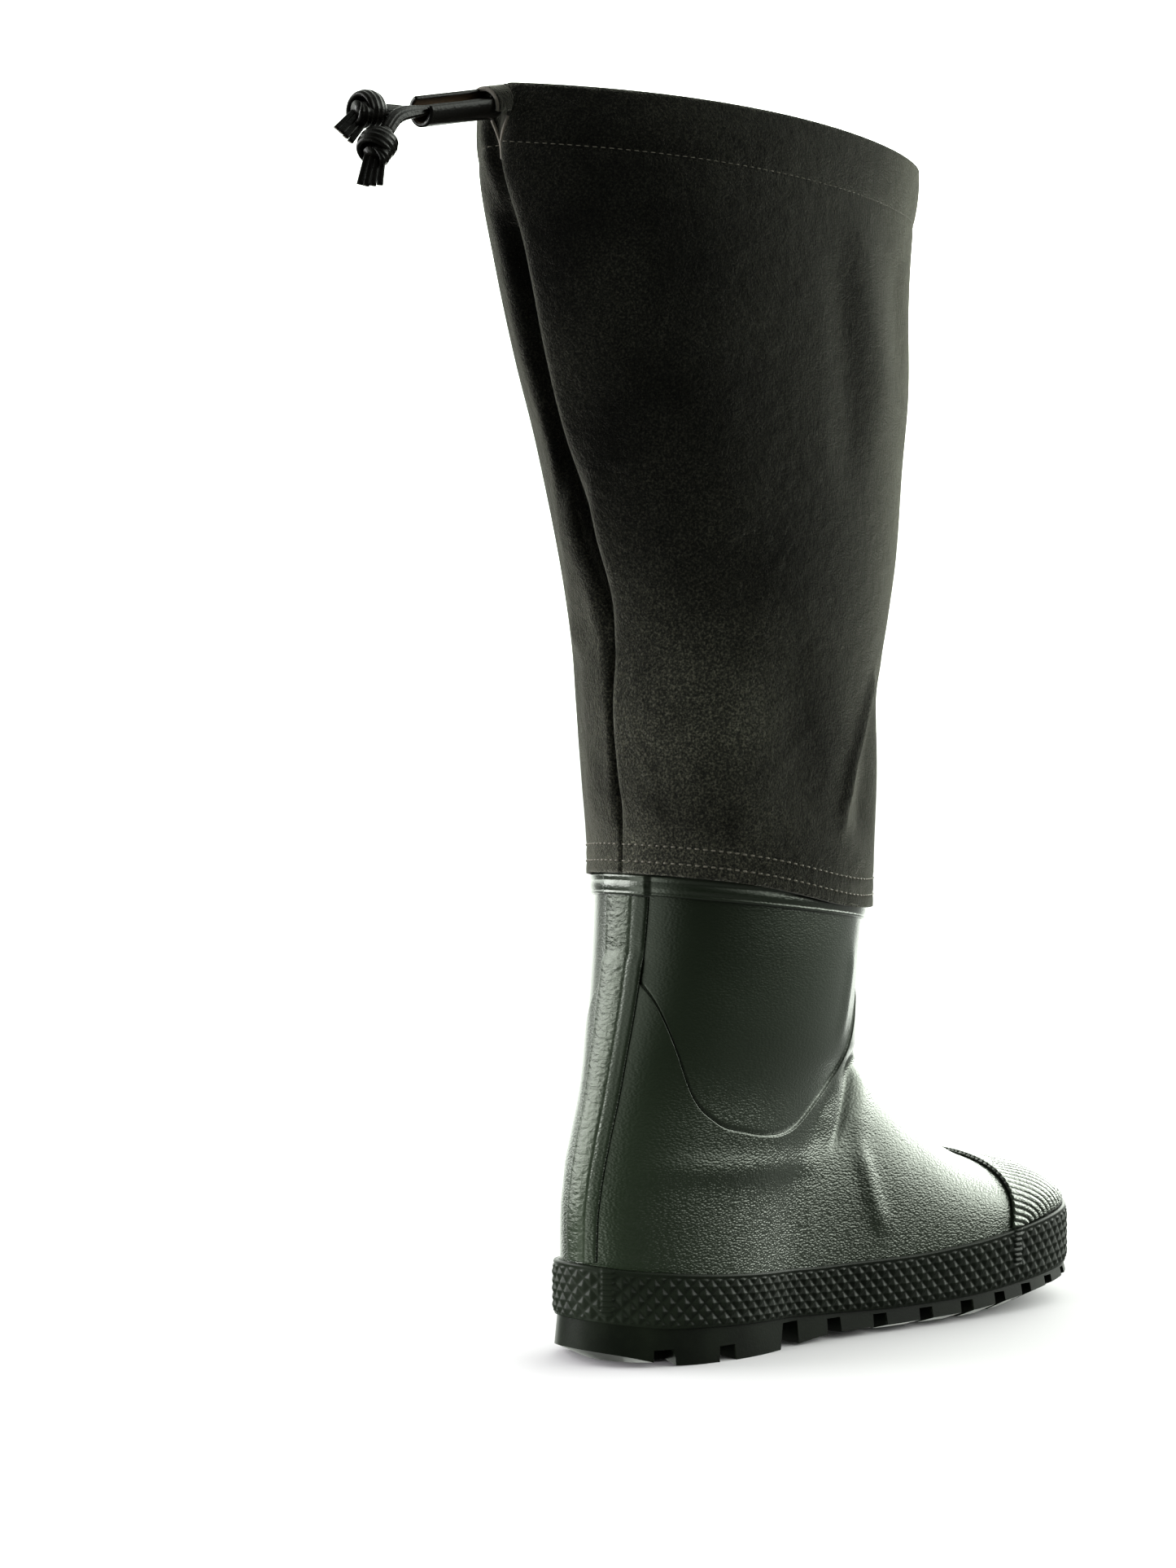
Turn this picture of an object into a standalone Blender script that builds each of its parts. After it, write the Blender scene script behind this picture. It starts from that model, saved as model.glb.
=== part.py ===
"""Right boot: a vulcanised rubber galosh on a lugged sole, with a suede shaft and a leather drawstring.

The boot stands on the floor, +Z up, toe along +X, outer side of the foot along -Y.
The origin is on the floor at the middle of the heel's tread.
Shapes are worked out in millimetres: a point is (along, across, up), along runs forward from the
heel's back edge and across is positive to the inner side of the foot. Meshes are made in metres.
"""

from collections import namedtuple

import bmesh
import bpy
import numpy as np

MM = 0.001

# Driving sizes
HEEL_CENTRE = 38.0
GAP = 0.3
UPPER_TIP = 298.0
UPPER_WALL = 2.8
VAMP_STEP = 0.9
SUEDE_WALL = 2.0
PLATE_THICK = 5.0
INSOLE_THICK = 4.0
INSOLE_BEVEL = 1.5

# Side of the sole: tread at the outline, tread further in, lower and upper edge of the foxing
SoleRow = namedtuple("SoleRow", "along edge flat low top")
SOLE_SIDE = [
    SoleRow(-4, 7.5, 3.0, 20.0, 43.5),
    SoleRow(10, 4.5, 1.0, 17.8, 40.4),
    SoleRow(24, 0.8, 0.0, 15.8, 38.8),
    SoleRow(42, 0.0, 0.0, 15.0, 37.0),
    SoleRow(82, 0.0, 0.0, 13.3, 34.0),
    SoleRow(117, 3.0, 2.0, 11.6, 32.4),
    SoleRow(156, 3.4, 0.0, 10.4, 32.4),
    SoleRow(197, 4.6, 0.0, 11.2, 34.6),
    SoleRow(222, 6.8, 1.2, 13.0, 37.2),
    SoleRow(255, 10.0, 5.0, 15.4, 41.0),
    SoleRow(303, 12.6, 11.0, 17.4, 44.5),
]

# The last: half widths of the foot in plan, its ridge from ankle to toe, and the heel and leg
PlanRow = namedtuple("PlanRow", "along outer inner")
FOOT_PLAN = [
    PlanRow(60, 34.5, 34.5),
    PlanRow(110, 37, 32),
    PlanRow(160, 46, 41),
    PlanRow(205, 53, 49),
    PlanRow(240, 54, 53),
    PlanRow(300, 54, 55),
]
RidgeRow = namedtuple("RidgeRow", "along up")
FOOT_RIDGE = [
    RidgeRow(60, 152),
    RidgeRow(140, 140),
    RidgeRow(160, 121.5),
    RidgeRow(172, 109),
    RidgeRow(184, 98.5),
    RidgeRow(204, 81.5),
    RidgeRow(216, 74.3),
    RidgeRow(230, 68.8),
    RidgeRow(246, 66),
    RidgeRow(300, 63.5),
]
LegRow = namedtuple("LegRow", "up back front half")
LEG = [
    LegRow(0, 3.5, 118, 36),
    LegRow(30, 3, 119, 38),
    LegRow(58, 3, 120, 38),
    LegRow(75, 5, 124, 38.5),
    LegRow(92, 9, 133, 40),
    LegRow(110, 14, 146.5, 42),
    LegRow(127, 18, 159.5, 46),
    LegRow(144, 22, 158, 49),
    LegRow(168, 26.5, 158, 52),
    LegRow(190, 28.5, 160, 53.5),
    LegRow(222, 29, 161, 54.5),
]
TOE_CLOSE_FROM = 228.0
TOE_CLOSE_POWER = 2.3
TOE_DROP_FROM = 246.0
TOE_DROP_POWER = 2.2
HEEL_CLOSE_FROM = 112.0
HEEL_CLOSE_END = 45.0
WIDEST_ABOVE_FEATHER = 14.0
ARCH_POWER = 2.5
TOE_ARCH_POWER = 3.2
TOE_ARCH_FADE = (185.0, 232.0)
BLEND = 300.0
LEFT_RIGHT_FADE = (60.0, 130.0)
ANKLE = np.array([100.0, 75.0])
ANKLE_REACH = 260.0
FEATHER_FADE_LEVEL = 0.35
FEATHER_FADE_RUN = 8.0
HEEL_SEARCH = 60.0
TOE_SEARCH = 20.0
LEG_SEARCH = 120.0

# Top of the galosh; the suede is lapped over its last stretch and a ribbed band runs under the hem
COLLAR_BACK = 218.0
COLLAR_FRONT = 202.0
LAP = 14.0
HEM_STAND_OFF = 0.6
BAND_HEIGHT = 9.0
BAND_THICK = 1.5
BandRow = namedtuple("BandRow", "share proud")
BAND_PROFILE = [BandRow(0, 0.7), BandRow(0.22, 1), BandRow(0.5, 0.55), BandRow(0.78, 1), BandRow(1, 0.7)]

# Edge of the vamp layer: its height along the leg's side, from the back to the front
VampRow = namedtuple("VampRow", "along up")
VAMP_EDGE = [
    VampRow(24, 166),
    VampRow(27, 153),
    VampRow(31, 133),
    VampRow(36, 113),
    VampRow(46, 100),
    VampRow(62, 94),
    VampRow(80, 91.5),
    VampRow(93, 93.5),
    VampRow(108, 102),
    VampRow(123, 113),
    VampRow(133, 127),
    VampRow(143, 143),
    VampRow(156, 160),
]

# Suede shaft: a row for each height, its back seam lies in a pleat and its rim dips at both sides
ShaftRow = namedtuple("ShaftRow", "back_up front_up dip back front outer inner point pleat half seam")
SHAFT = [
    ShaftRow(243, 229, 0, 23, 166, 58, 59, 1.08, 7, 4.5, 0),
    ShaftRow(277, 264, 0, 20, 166.5, 60, 61, 1.10, 9, 5.5, 0),
    ShaftRow(300, 288, 0, 18.5, 167, 61, 63, 1.12, 11, 5.2, 0),
    ShaftRow(323, 312, 0, 12.5, 173.5, 62, 64, 1.18, 13, 5, 0),
    ShaftRow(346, 336, 0, 4, 180, 63, 65, 1.30, 15, 4.6, 2),
    ShaftRow(387, 378, 0, -10, 185.5, 65, 66, 1.32, 16, 4.4, 5),
    ShaftRow(420, 412, 1, -22, 190, 67, 67, 1.28, 14, 5.5, 6),
    ShaftRow(463, 454, 3, -36, 190.5, 69, 69, 1.34, 14, 6, 5),
    ShaftRow(498, 486, 4, -47, 193.5, 71, 71, 1.48, 7, 4.2, 3),
    ShaftRow(528, 513, 4, -47, 197, 73, 72, 1.46, 6, 4.6, 0),
]

# Toe cap, heel strip and foxing
CAP_GAP = 0.7
CAP_THICK = 1.2
CAP_LINE_TOP = 234.0
CAP_LINE_SIDE = 224.5
CAP_AXIS_UP = 26.0
CAP_CORNER = 3.0
CAP_REACH = 90.0
STRIP_THICK = 2.0
STRIP_HALF_TOP = 12.5
STRIP_HALF_LOW = 8.0
STRIP_EDGE_DROP = 0.45
STRIP_EDGE_POWER = 3.0
STRIP_BUMP_FROM = 165.0
STRIP_BUMP_TO = 171.0
FOXING_GAP = 0.45
FOXING_THICK = 2.0
FOXING_INNER_SHARES = (0.0, 0.62, 0.82, 1.0)
DIAMOND_RISE = 1.2
DIAMOND_COLUMNS = 140
DIAMOND_ROWS = 6

# Tread: a ledge under the foxing, flared towards the floor, cut by grooves
LEDGE = 1.2
FLARE = 2.4
FLAT_INSET = 9.0
GROOVE_DRAFT = 0.82
GrooveRow = namedtuple("GrooveRow", "along width height reach")
OUTER_GROOVES = [
    GrooveRow(22.5, 11, 7.0, 17),
    GrooveRow(51, 10, 6.5, 17),
    GrooveRow(117.5, 9, 9.4, 20),
    GrooveRow(143, 9, 8.6, 22),
    GrooveRow(169, 9, 8.6, 24),
    GrooveRow(193, 9, 9.2, 24),
    GrooveRow(214, 8, 10.6, 22),
    GrooveRow(233, 8, 12.2, 20),
    GrooveRow(252, 8, 13.4, 18),
    GrooveRow(271, 7, 14.4, 14),
]
INNER_GROOVES = [
    GrooveRow(22.5, 11, 7.0, 17),
    GrooveRow(51, 10, 6.5, 17),
    GrooveRow(117.5, 9, 9.4, 18),
    GrooveRow(143, 9, 8.6, 20),
    GrooveRow(169, 9, 8.6, 22),
    GrooveRow(193, 9, 9.2, 24),
    GrooveRow(214, 8, 10.6, 22),
    GrooveRow(233, 8, 12.2, 20),
    GrooveRow(252, 8, 13.4, 18),
    GrooveRow(271, 7, 14.4, 14),
]
BREAST_FROM = 87.0
BREAST_TO = 96.5
BREAST_HEIGHT = 10.8
BREAST_SLANT = 5.0
CUTTER_MARGIN = 8.0
CUTTER_HALF = 70.0

# Drawstring: two ends leave the casing at the back, run through a rolled slider and end in knots
LACE_RADIUS = 2.0
SLIDER_RADIUS = 6.4
SLIDER_WALL = 1.7
SLIDER_SLIT = (12.0, 104.0)
LaceRow = namedtuple("LaceRow", "along across up")
SLIDER_START = LaceRow(-48.5, 0.0, 519.0)
SLIDER_END = LaceRow(-87.5, 0.0, 510.5)
OUTER_LACE = [
    LaceRow(-44.4, -2.3, 520.2),
    LaceRow(-66.0, -2.3, 515.2),
    LaceRow(-87.5, -2.4, 510.5),
    LaceRow(-103.0, -3.8, 506.0),
    LaceRow(-110.0, -4.6, 498.5),
]
INNER_LACE = [
    LaceRow(-44.4, 2.3, 520.2),
    LaceRow(-66.0, 2.3, 515.2),
    LaceRow(-87.5, 2.4, 510.5),
    LaceRow(-105.0, 3.4, 509.0),
]
KnotRow = namedtuple("KnotRow", "run radius flat")
KNOT = [
    KnotRow(0.0, 2.0, 1.0),
    KnotRow(1.5, 5.0, 1.0),
    KnotRow(5.0, 7.6, 0.95),
    KnotRow(9.5, 8.0, 0.9),
    KnotRow(13.5, 6.2, 0.85),
    KnotRow(16.0, 3.6, 0.7),
    KnotRow(20.0, 4.4, 0.5),
    KnotRow(26.0, 5.0, 0.4),
]

# Colour and roughness of each material
PaintRow = namedtuple("PaintRow", "name colour roughness")
GREEN_RUBBER = PaintRow("green_rubber", (0.022, 0.032, 0.022), 0.42)
BLACK_RUBBER = PaintRow("black_rubber", (0.012, 0.016, 0.013), 0.5)
GREY_SUEDE = PaintRow("grey_suede", (0.055, 0.047, 0.043), 0.92)
BLACK_LEATHER = PaintRow("black_leather", (0.014, 0.013, 0.012), 0.55)
GREY_FELT = PaintRow("grey_felt", (0.1, 0.1, 0.095), 0.95)

# Counts of the faceted shapes, and steps of the searches on them
UPPER_HALF = 24
UPPER_LEVELS = 81
VAMP_ROWS = 13
LEG_ROWS = 5
SHAFT_HALF = 22
SHAFT_CROWDING = 1.6
END_CROWDING = 0.35
SOLE_HALF = 36
FINE = 240
CAP_ROWS = 9
CAP_COLUMNS = 16
STRIP_ROWS = 14
STRIP_COLUMNS = 6
STRIP_FINE = 96
LACE_POINTS = 10
KNOT_SIDES = 10
SLIDER_STEPS = 14
BISECTIONS = 40
SLOPE_STEP = 0.05
TINY = 1e-9


# Curves and small helpers


def curve(table, column):
    """Smooth function of the table's first column, straight beyond its ends."""
    xs = np.array([row[0] for row in table], float)
    ys = np.array([getattr(row, column) for row in table], float)
    chord = np.diff(ys) / np.diff(xs)
    slope = np.concatenate([chord[:1], (chord[1:] + chord[:-1]) / 2, chord[-1:]])
    turning = np.concatenate([[False], chord[1:] * chord[:-1] <= 0, [False]])
    slope[turning] = 0.0

    def value(x):
        x = np.asarray(x, float)
        i = np.clip(np.searchsorted(xs, x) - 1, 0, len(xs) - 2)
        width = xs[i + 1] - xs[i]
        t = np.clip((x - xs[i]) / width, 0.0, 1.0)
        inside = (
            ys[i]
            + (ys[i + 1] - ys[i]) * t * t * (3 - 2 * t)
            + width * t * (1 - t) * (slope[i] * (1 - t) - slope[i + 1] * t)
        )
        before = slope[0] * np.minimum(x - xs[0], 0.0)
        after = slope[-1] * np.maximum(x - xs[-1], 0.0)
        return inside + before + after

    return value


def fade(x, start, end):
    t = np.clip((x - start) / (end - start), 0.0, 1.0)
    return t * t * (3 - 2 * t)


def signed_power(x, power):
    return np.sign(x) * np.abs(x) ** power


def both(first, second):
    """Product of two shares where both are positive, the lower one elsewhere."""
    inside = (first > 0) & (second > 0)
    return np.where(inside, first * second, np.minimum(first, second))


def crossing(inside, low, high):
    """Value between low and high where the test turns from true to false."""
    low = np.array(low, float)
    high = np.array(high, float)
    for _ in range(BISECTIONS):
        middle = (low + high) / 2
        still = inside(middle)
        low = np.where(still, middle, low)
        high = np.where(still, high, middle)
    return (low + high) / 2


def spread(points, shares):
    """Points of a polyline at the given shares of its length."""
    steps = np.linalg.norm(np.diff(points, axis=0), axis=1)
    run = np.concatenate([[0.0], np.cumsum(steps)])
    return np.stack([np.interp(shares * run[-1], run, points[:, k]) for k in range(3)], axis=1)


edge_up = curve(SOLE_SIDE, "edge")
flat_up = curve(SOLE_SIDE, "flat")
foxing_low = curve(SOLE_SIDE, "low")
foxing_top = curve(SOLE_SIDE, "top")
plan_outer = curve(FOOT_PLAN, "outer")
plan_inner = curve(FOOT_PLAN, "inner")
ridge_up = curve(FOOT_RIDGE, "up")
leg_back = curve(LEG, "back")
leg_front = curve(LEG, "front")
leg_half = curve(LEG, "half")
vamp_edge_up = curve(VAMP_EDGE, "up")


def feather_up(along):
    """Height at which the wall of the upper starts, just above the plate."""
    return foxing_low(along) + PLATE_THICK


# Surface of the last


def foot_square(along, up):
    """Square of the foot's half width at a point of the middle plane, negative outside it."""
    toe_share = np.clip((along - TOE_CLOSE_FROM) / (UPPER_TIP - TOE_CLOSE_FROM), 0.0, None)
    toe = signed_power(1 - toe_share**TOE_CLOSE_POWER, 2 / TOE_CLOSE_POWER)
    heel_share = np.clip((HEEL_CLOSE_FROM - along) / (HEEL_CLOSE_FROM - HEEL_CLOSE_END), 0.0, None)
    drop_share = np.clip((along - TOE_DROP_FROM) / (UPPER_TIP - TOE_DROP_FROM), 0.0, 1.0)
    drop = (1 - drop_share**TOE_DROP_POWER) ** (1 / TOE_DROP_POWER)
    widest = feather_up(along) + WIDEST_ABOVE_FEATHER
    arch = np.maximum((ridge_up(along) - widest) * drop, 1.0)
    rise = np.clip((up - widest) / arch, 0.0, None)
    half = (plan_outer(along) + plan_inner(along)) / 2
    power = ARCH_POWER + (TOE_ARCH_POWER - ARCH_POWER) * fade(along, *TOE_ARCH_FADE)
    return half**2 * both(both(toe, 1 - heel_share**2), 1 - rise**power)


def leg_square(along, up):
    middle = (leg_back(up) + leg_front(up)) / 2
    reach = (leg_front(up) - leg_back(up)) / 2
    return leg_half(up) ** 2 * (1 - ((along - middle) / reach) ** 2)


def last_square(along, up):
    foot = foot_square(along, up)
    leg = leg_square(along, up)
    return (foot + leg + np.sqrt((foot - leg) ** 2 + BLEND**2)) / 2


def lean(along, up, side):
    """Share by which one side of the foot is wider than the mean of both."""
    plan = np.where(side < 0, plan_outer(along), plan_inner(along))
    mean = (plan_outer(along) + plan_inner(along)) / 2
    return 1 + (plan / mean - 1) * (1 - fade(up, *LEFT_RIGHT_FADE))


def half_width(along, up, side):
    """Half width of the last: side -1 is the outer side of the foot, +1 the inner."""
    return lean(along, up, side) * np.sqrt(np.maximum(last_square(along, up), 0.0))


def last_normals(points):
    """Outward unit normals of the last at points on its surface."""

    def depth(spots):
        along, across, up = np.moveaxis(spots, -1, 0)
        return lean(along, up, np.sign(across)) ** 2 * last_square(along, up) - across**2

    steps = np.eye(3) * SLOPE_STEP
    slope = np.stack([depth(points - step) - depth(points + step) for step in steps], axis=-1)
    return slope / np.linalg.norm(slope, axis=-1, keepdims=True)


def ankle_rays(first, last):
    """Outline of the middle plane, swept from one direction at the ankle to another."""
    angles = np.linspace(first, last, FINE)
    heading = np.stack([np.cos(angles), np.sin(angles)])

    def inside(reach):
        return last_square(*(ANKLE[:, None] + reach * heading)) > 0

    reach = crossing(inside, np.zeros(FINE), np.full(FINE, ANKLE_REACH))
    along, up = ANKLE[:, None] + reach * heading
    return np.stack([along, np.zeros(FINE), up], axis=1)


def ankle_angle(along, up):
    return np.arctan2(up - ANKLE[1], along - ANKLE[0])


HEEL_LOW = ankle_angle(leg_back(0.0), feather_up(0.0)) + 2 * np.pi
FRONT_LINE = ankle_rays(
    ankle_angle(UPPER_TIP, feather_up(UPPER_TIP)), ankle_angle(leg_front(COLLAR_FRONT), COLLAR_FRONT)
)
BACK_LINE = ankle_rays(HEEL_LOW, ankle_angle(leg_back(COLLAR_BACK), COLLAR_BACK))


def ring_between(back, front, height, shares):
    """Closed section of the last from a back point to a front point, at the given girth shares."""
    swing = (1 - np.cos(np.linspace(0.0, np.pi, FINE))) / 2
    along = back[0] + (front[0] - back[0]) * swing
    up = height(along)
    sides = []
    for side in (-1, 1):
        width = half_width(along, up, side)
        width[0] = 0.0
        width[-1] = 0.0
        sides.append(spread(np.stack([along, side * width, up], axis=1), shares))
    return np.concatenate([sides[0], sides[1][-2:0:-1]])


def level_ring(level, shares):
    """Section of the upper at a level from the feather line (0) to the collar (1)."""
    back = spread(BACK_LINE, np.array([level]))[0][[0, 2]]
    front = spread(FRONT_LINE, np.array([level]))[0][[0, 2]]
    low_back = BACK_LINE[0][[0, 2]]
    low_front = FRONT_LINE[0][[0, 2]]

    def height(along):
        straight = np.interp(along, [back[0], front[0]], [back[1], front[1]])
        low = np.interp(along, [low_back[0], low_front[0]], [low_back[1], low_front[1]])
        follow = 1 - fade(level, 0.0, FEATHER_FADE_LEVEL)
        follow = follow * fade(along, low_back[0], low_back[0] + FEATHER_FADE_RUN)
        follow = follow * (1 - fade(along, low_front[0] - FEATHER_FADE_RUN, low_front[0]))
        return straight + follow * (feather_up(along) - low)

    return ring_between(back, front, height, shares)


def sole_ring(height, shares):
    """Section of the last that follows a line of the sole's side."""

    def inside(along):
        return last_square(along, height(along)) > 0

    back = crossing(inside, [HEEL_CENTRE], [HEEL_CENTRE - HEEL_SEARCH])[0]
    front = crossing(inside, [HEEL_CENTRE], [UPPER_TIP + TOE_SEARCH])[0]
    return ring_between([back], [front], height, shares)


def even(count):
    return np.linspace(0.0, 1.0, count + 1)


def crowded(count):
    """Shares that lie closer together at both ends, where the rings turn tightly."""
    share = even(count)
    return (1 - END_CROWDING) * share + END_CROWDING * (1 - np.cos(np.pi * share)) / 2


def ring_normals(grid):
    """Outward unit normals of rows of rings."""
    across = np.roll(grid, -1, axis=1) - np.roll(grid, 1, axis=1)
    upward = np.gradient(grid, axis=0)
    normal = np.cross(across, upward)
    normal = normal / np.maximum(np.linalg.norm(normal, axis=2, keepdims=True), TINY)
    outward = grid - grid.mean(axis=1, keepdims=True)
    return normal * np.sign((normal * outward).sum())


def plan_offset(ring, distance):
    """Ring moved outward in plan, each point keeping its height."""
    tangent = np.roll(ring, -1, axis=0) - np.roll(ring, 1, axis=0)
    normal = np.stack([tangent[:, 1], -tangent[:, 0]], axis=1)
    normal = normal / np.linalg.norm(normal, axis=1, keepdims=True)
    centre = ring[:, :2] - ring[:, :2].mean(axis=0)
    normal = normal * np.sign((normal * centre).sum())
    moved = ring.copy()
    moved[:, :2] = ring[:, :2] + normal * distance
    return moved


def at_height(ring, height):
    moved = ring.copy()
    moved[:, 2] = height(ring[:, 0])
    return moved


# Meshes


def material(paint):
    made = bpy.data.materials.new(paint.name)
    made.use_nodes = True
    shader = made.node_tree.nodes["Principled BSDF"]
    shader.inputs["Base Color"].default_value = (*paint.colour, 1.0)
    shader.inputs["Roughness"].default_value = paint.roughness
    shader.inputs["Metallic"].default_value = 0.0
    return made


def solid(name, points, faces, paint, smooth=True):
    """Closed mesh object from points in millimetres; faces are turned to look outward."""
    placed = (np.asarray(points) - [HEEL_CENTRE, 0.0, 0.0]) * MM
    mesh = bpy.data.meshes.new(name)
    mesh.from_pydata(placed.tolist(), [], faces)
    work = bmesh.new()
    work.from_mesh(mesh)
    bmesh.ops.recalc_face_normals(work, faces=work.faces)
    work.to_mesh(mesh)
    work.free()
    if paint:
        mesh.materials.append(paint)
    mesh.polygons.foreach_set("use_smooth", [smooth] * len(mesh.polygons))
    made = bpy.data.objects.new(name, mesh)
    bpy.context.collection.objects.link(made)
    return made


def ring_faces(rows, columns, start=0):
    """Quads between neighbouring rings whose points are numbered row by row."""
    faces = []
    for r in range(rows - 1):
        for c in range(columns):
            low = start + r * columns
            high = low + columns
            after = (c + 1) % columns
            faces.append((low + c, low + after, high + after, high + c))
    return faces


def shell(name, outer, inner, paint):
    """Hollow wall between rows of outer rings and rows of inner rings, open at both ends."""
    loop = np.concatenate([outer, inner[::-1]])
    rows, columns = loop.shape[:2]
    points = loop.reshape(-1, 3)
    faces = ring_faces(rows, columns)
    last = (rows - 1) * columns
    for c in range(columns):
        after = (c + 1) % columns
        faces.append((last + c, last + after, after, c))
    return solid(name, points, faces, paint)


def sheet(name, outer, inner, paint):
    """Solid between an outer and an inner grid of points, closed along its four edges."""
    rows, columns = outer.shape[:2]
    points = np.concatenate([outer.reshape(-1, 3), inner.reshape(-1, 3)])
    count = rows * columns
    faces = []
    for r in range(rows - 1):
        for c in range(columns - 1):
            a = r * columns + c
            quad = (a, a + 1, a + columns + 1, a + columns)
            faces.append(quad)
            faces.append(tuple(k + count for k in reversed(quad)))
    top = (rows - 1) * columns
    border = list(range(columns - 1))
    border += [r * columns + columns - 1 for r in range(rows - 1)]
    border += [top + c for c in range(columns - 1, 0, -1)]
    border += [r * columns for r in range(rows - 1, 0, -1)]
    for k, here in enumerate(border):
        there = border[(k + 1) % len(border)]
        faces.append((here, there, there + count, here + count))
    return solid(name, points, faces, paint)


def strip_fill(first, columns):
    """Faces across a closed ring that starts at the back and is numbered round both sides."""
    half = columns // 2
    faces = [(first, first + 1, first + columns - 1)]
    for c in range(1, half - 1):
        faces.append((first + c, first + c + 1, first + columns - c - 1, first + columns - c))
    faces.append((first + half - 1, first + half, first + half + 1))
    return faces


def plug(name, rings, paint, smooth=False):
    """Solid through a stack of rings, filled across the first and the last."""
    columns = len(rings[0])
    points = np.concatenate(rings)
    faces = ring_faces(len(rings), columns)
    faces += strip_fill(0, columns)
    faces += strip_fill((len(rings) - 1) * columns, columns)
    return solid(name, points, faces, paint, smooth)


# Upper: one hollow rubber body, the vamp layer a step prouder than the leg


def upper_levels(shares):
    """Rings of the last from the feather line to the collar, evenly spaced in level."""
    return np.stack([level_ring(level, shares) for level in even(UPPER_LEVELS - 1)])


def vamp_edge_level(levels):
    """For each column, the level at which it comes out above the edge of the vamp layer."""
    above = levels[:, :, 2] - vamp_edge_up(levels[:, :, 0])
    found = []
    for column in above.T:
        low = np.nonzero(column < 0)[0][-1]
        part = column[low] / (column[low] - column[low + 1])
        found.append((low + part) / (UPPER_LEVELS - 1))
    return np.array(found)


def on_columns(levels, wanted):
    """Points of each column at its wanted level."""
    place = np.clip(wanted, 0.0, 1.0) * (UPPER_LEVELS - 1)
    low = np.minimum(place.astype(int), UPPER_LEVELS - 2)
    share = (place - low)[:, None]
    columns = np.arange(levels.shape[1])
    return levels[low, columns] * (1 - share) + levels[low + 1, columns] * share


def build_upper(paint):
    levels = upper_levels(crowded(UPPER_HALF))
    step = vamp_edge_level(levels)
    rows = [on_columns(levels, step * share) for share in even(VAMP_ROWS)]
    rows += [on_columns(levels, step + (1 - step) * share) for share in even(LEG_ROWS)]
    grid = np.stack(rows)
    normals = ring_normals(np.delete(grid, VAMP_ROWS + 1, axis=0))
    normals = np.insert(normals, VAMP_ROWS + 1, normals[VAMP_ROWS], axis=0)
    sink = np.zeros(len(grid))
    sink[VAMP_ROWS + 1 :] = VAMP_STEP
    outer = grid - normals * sink[:, None, None]
    inner = np.delete(grid - normals * UPPER_WALL, VAMP_ROWS + 1, axis=0)
    return shell("upper", outer, inner, paint)


# Sole: the plate is wrapped by the foxing, the tread below it is cut into lugs


def groove_box(outline, along, width, height, reach, side):
    """Corners of a cutter standing across the sole's edge, narrower at its top."""
    half = outline[: len(outline) // 2 + 1] if side < 0 else outline[len(outline) // 2 :][::-1]
    order = np.argsort(half[:, 0])
    across = np.interp(along, half[order, 0], half[order, 1])
    back = np.interp(along - width, half[order, 0], half[order, 1])
    front = np.interp(along + width, half[order, 0], half[order, 1])
    tangent = np.array([2 * width, front - back])
    tangent = tangent / np.linalg.norm(tangent)
    inward = np.array([-tangent[1], tangent[0]]) * -side
    place = np.array([along, across])
    corners = []
    for up, share in ((-CUTTER_MARGIN, 1.0), (height, GROOVE_DRAFT)):
        for run, sway in ((-CUTTER_MARGIN, -1), (-CUTTER_MARGIN, 1), (reach, 1), (reach, -1)):
            spot = place + inward * run + tangent * sway * share * width / 2
            corners.append([*spot, up])
    return corners


BOX_FACES = [(0, 1, 2, 3), (4, 7, 6, 5), (0, 4, 5, 1), (1, 5, 6, 2), (2, 6, 7, 3), (3, 7, 4, 0)]


def build_outsole(paint):
    outline = sole_ring(feather_up, even(SOLE_HALF))
    under = plan_offset(outline, FLARE)
    rings = [
        at_height(outline, lambda along: feather_up(along) - GAP),
        at_height(outline, lambda along: foxing_low(along) - GAP),
        at_height(plan_offset(outline, LEDGE), lambda along: foxing_low(along) - GAP),
        at_height(under, edge_up),
        at_height(plan_offset(outline, -FLAT_INSET), flat_up),
    ]
    outsole = plug("outsole", rings, paint)
    corners = []
    for side, rows in ((-1, OUTER_GROOVES), (1, INNER_GROOVES)):
        for row in rows:
            corners += groove_box(under, row.along, row.width, row.height, row.reach, side)
    for up, slant in ((-CUTTER_MARGIN, -BREAST_SLANT), (BREAST_HEIGHT, 0.0)):
        for along, across in (
            (BREAST_FROM + slant, -CUTTER_HALF),
            (BREAST_FROM + slant, CUTTER_HALF),
            (BREAST_TO, CUTTER_HALF),
            (BREAST_TO, -CUTTER_HALF),
        ):
            corners.append([along, across, up])
    faces = []
    for start in range(0, len(corners), 8):
        faces += [tuple(start + k for k in face) for face in BOX_FACES]
    cutter = solid("tread_cutter", corners, faces, None, smooth=False)
    cutter.hide_render = True
    cutter.display_type = "WIRE"
    cut = outsole.modifiers.new("tread", "BOOLEAN")
    cut.operation = "DIFFERENCE"
    cut.solver = "EXACT"
    cut.object = cutter
    return outsole


def foxing_ring(share):
    """Section of the last at a share of the foxing's height, upright below the feather line."""

    def height(along):
        return foxing_low(along) + (foxing_top(along) - foxing_low(along)) * share

    def wall(along):
        return np.maximum(height(along), feather_up(along))

    return at_height(sole_ring(wall, even(DIAMOND_COLUMNS // 2)), height)


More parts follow.
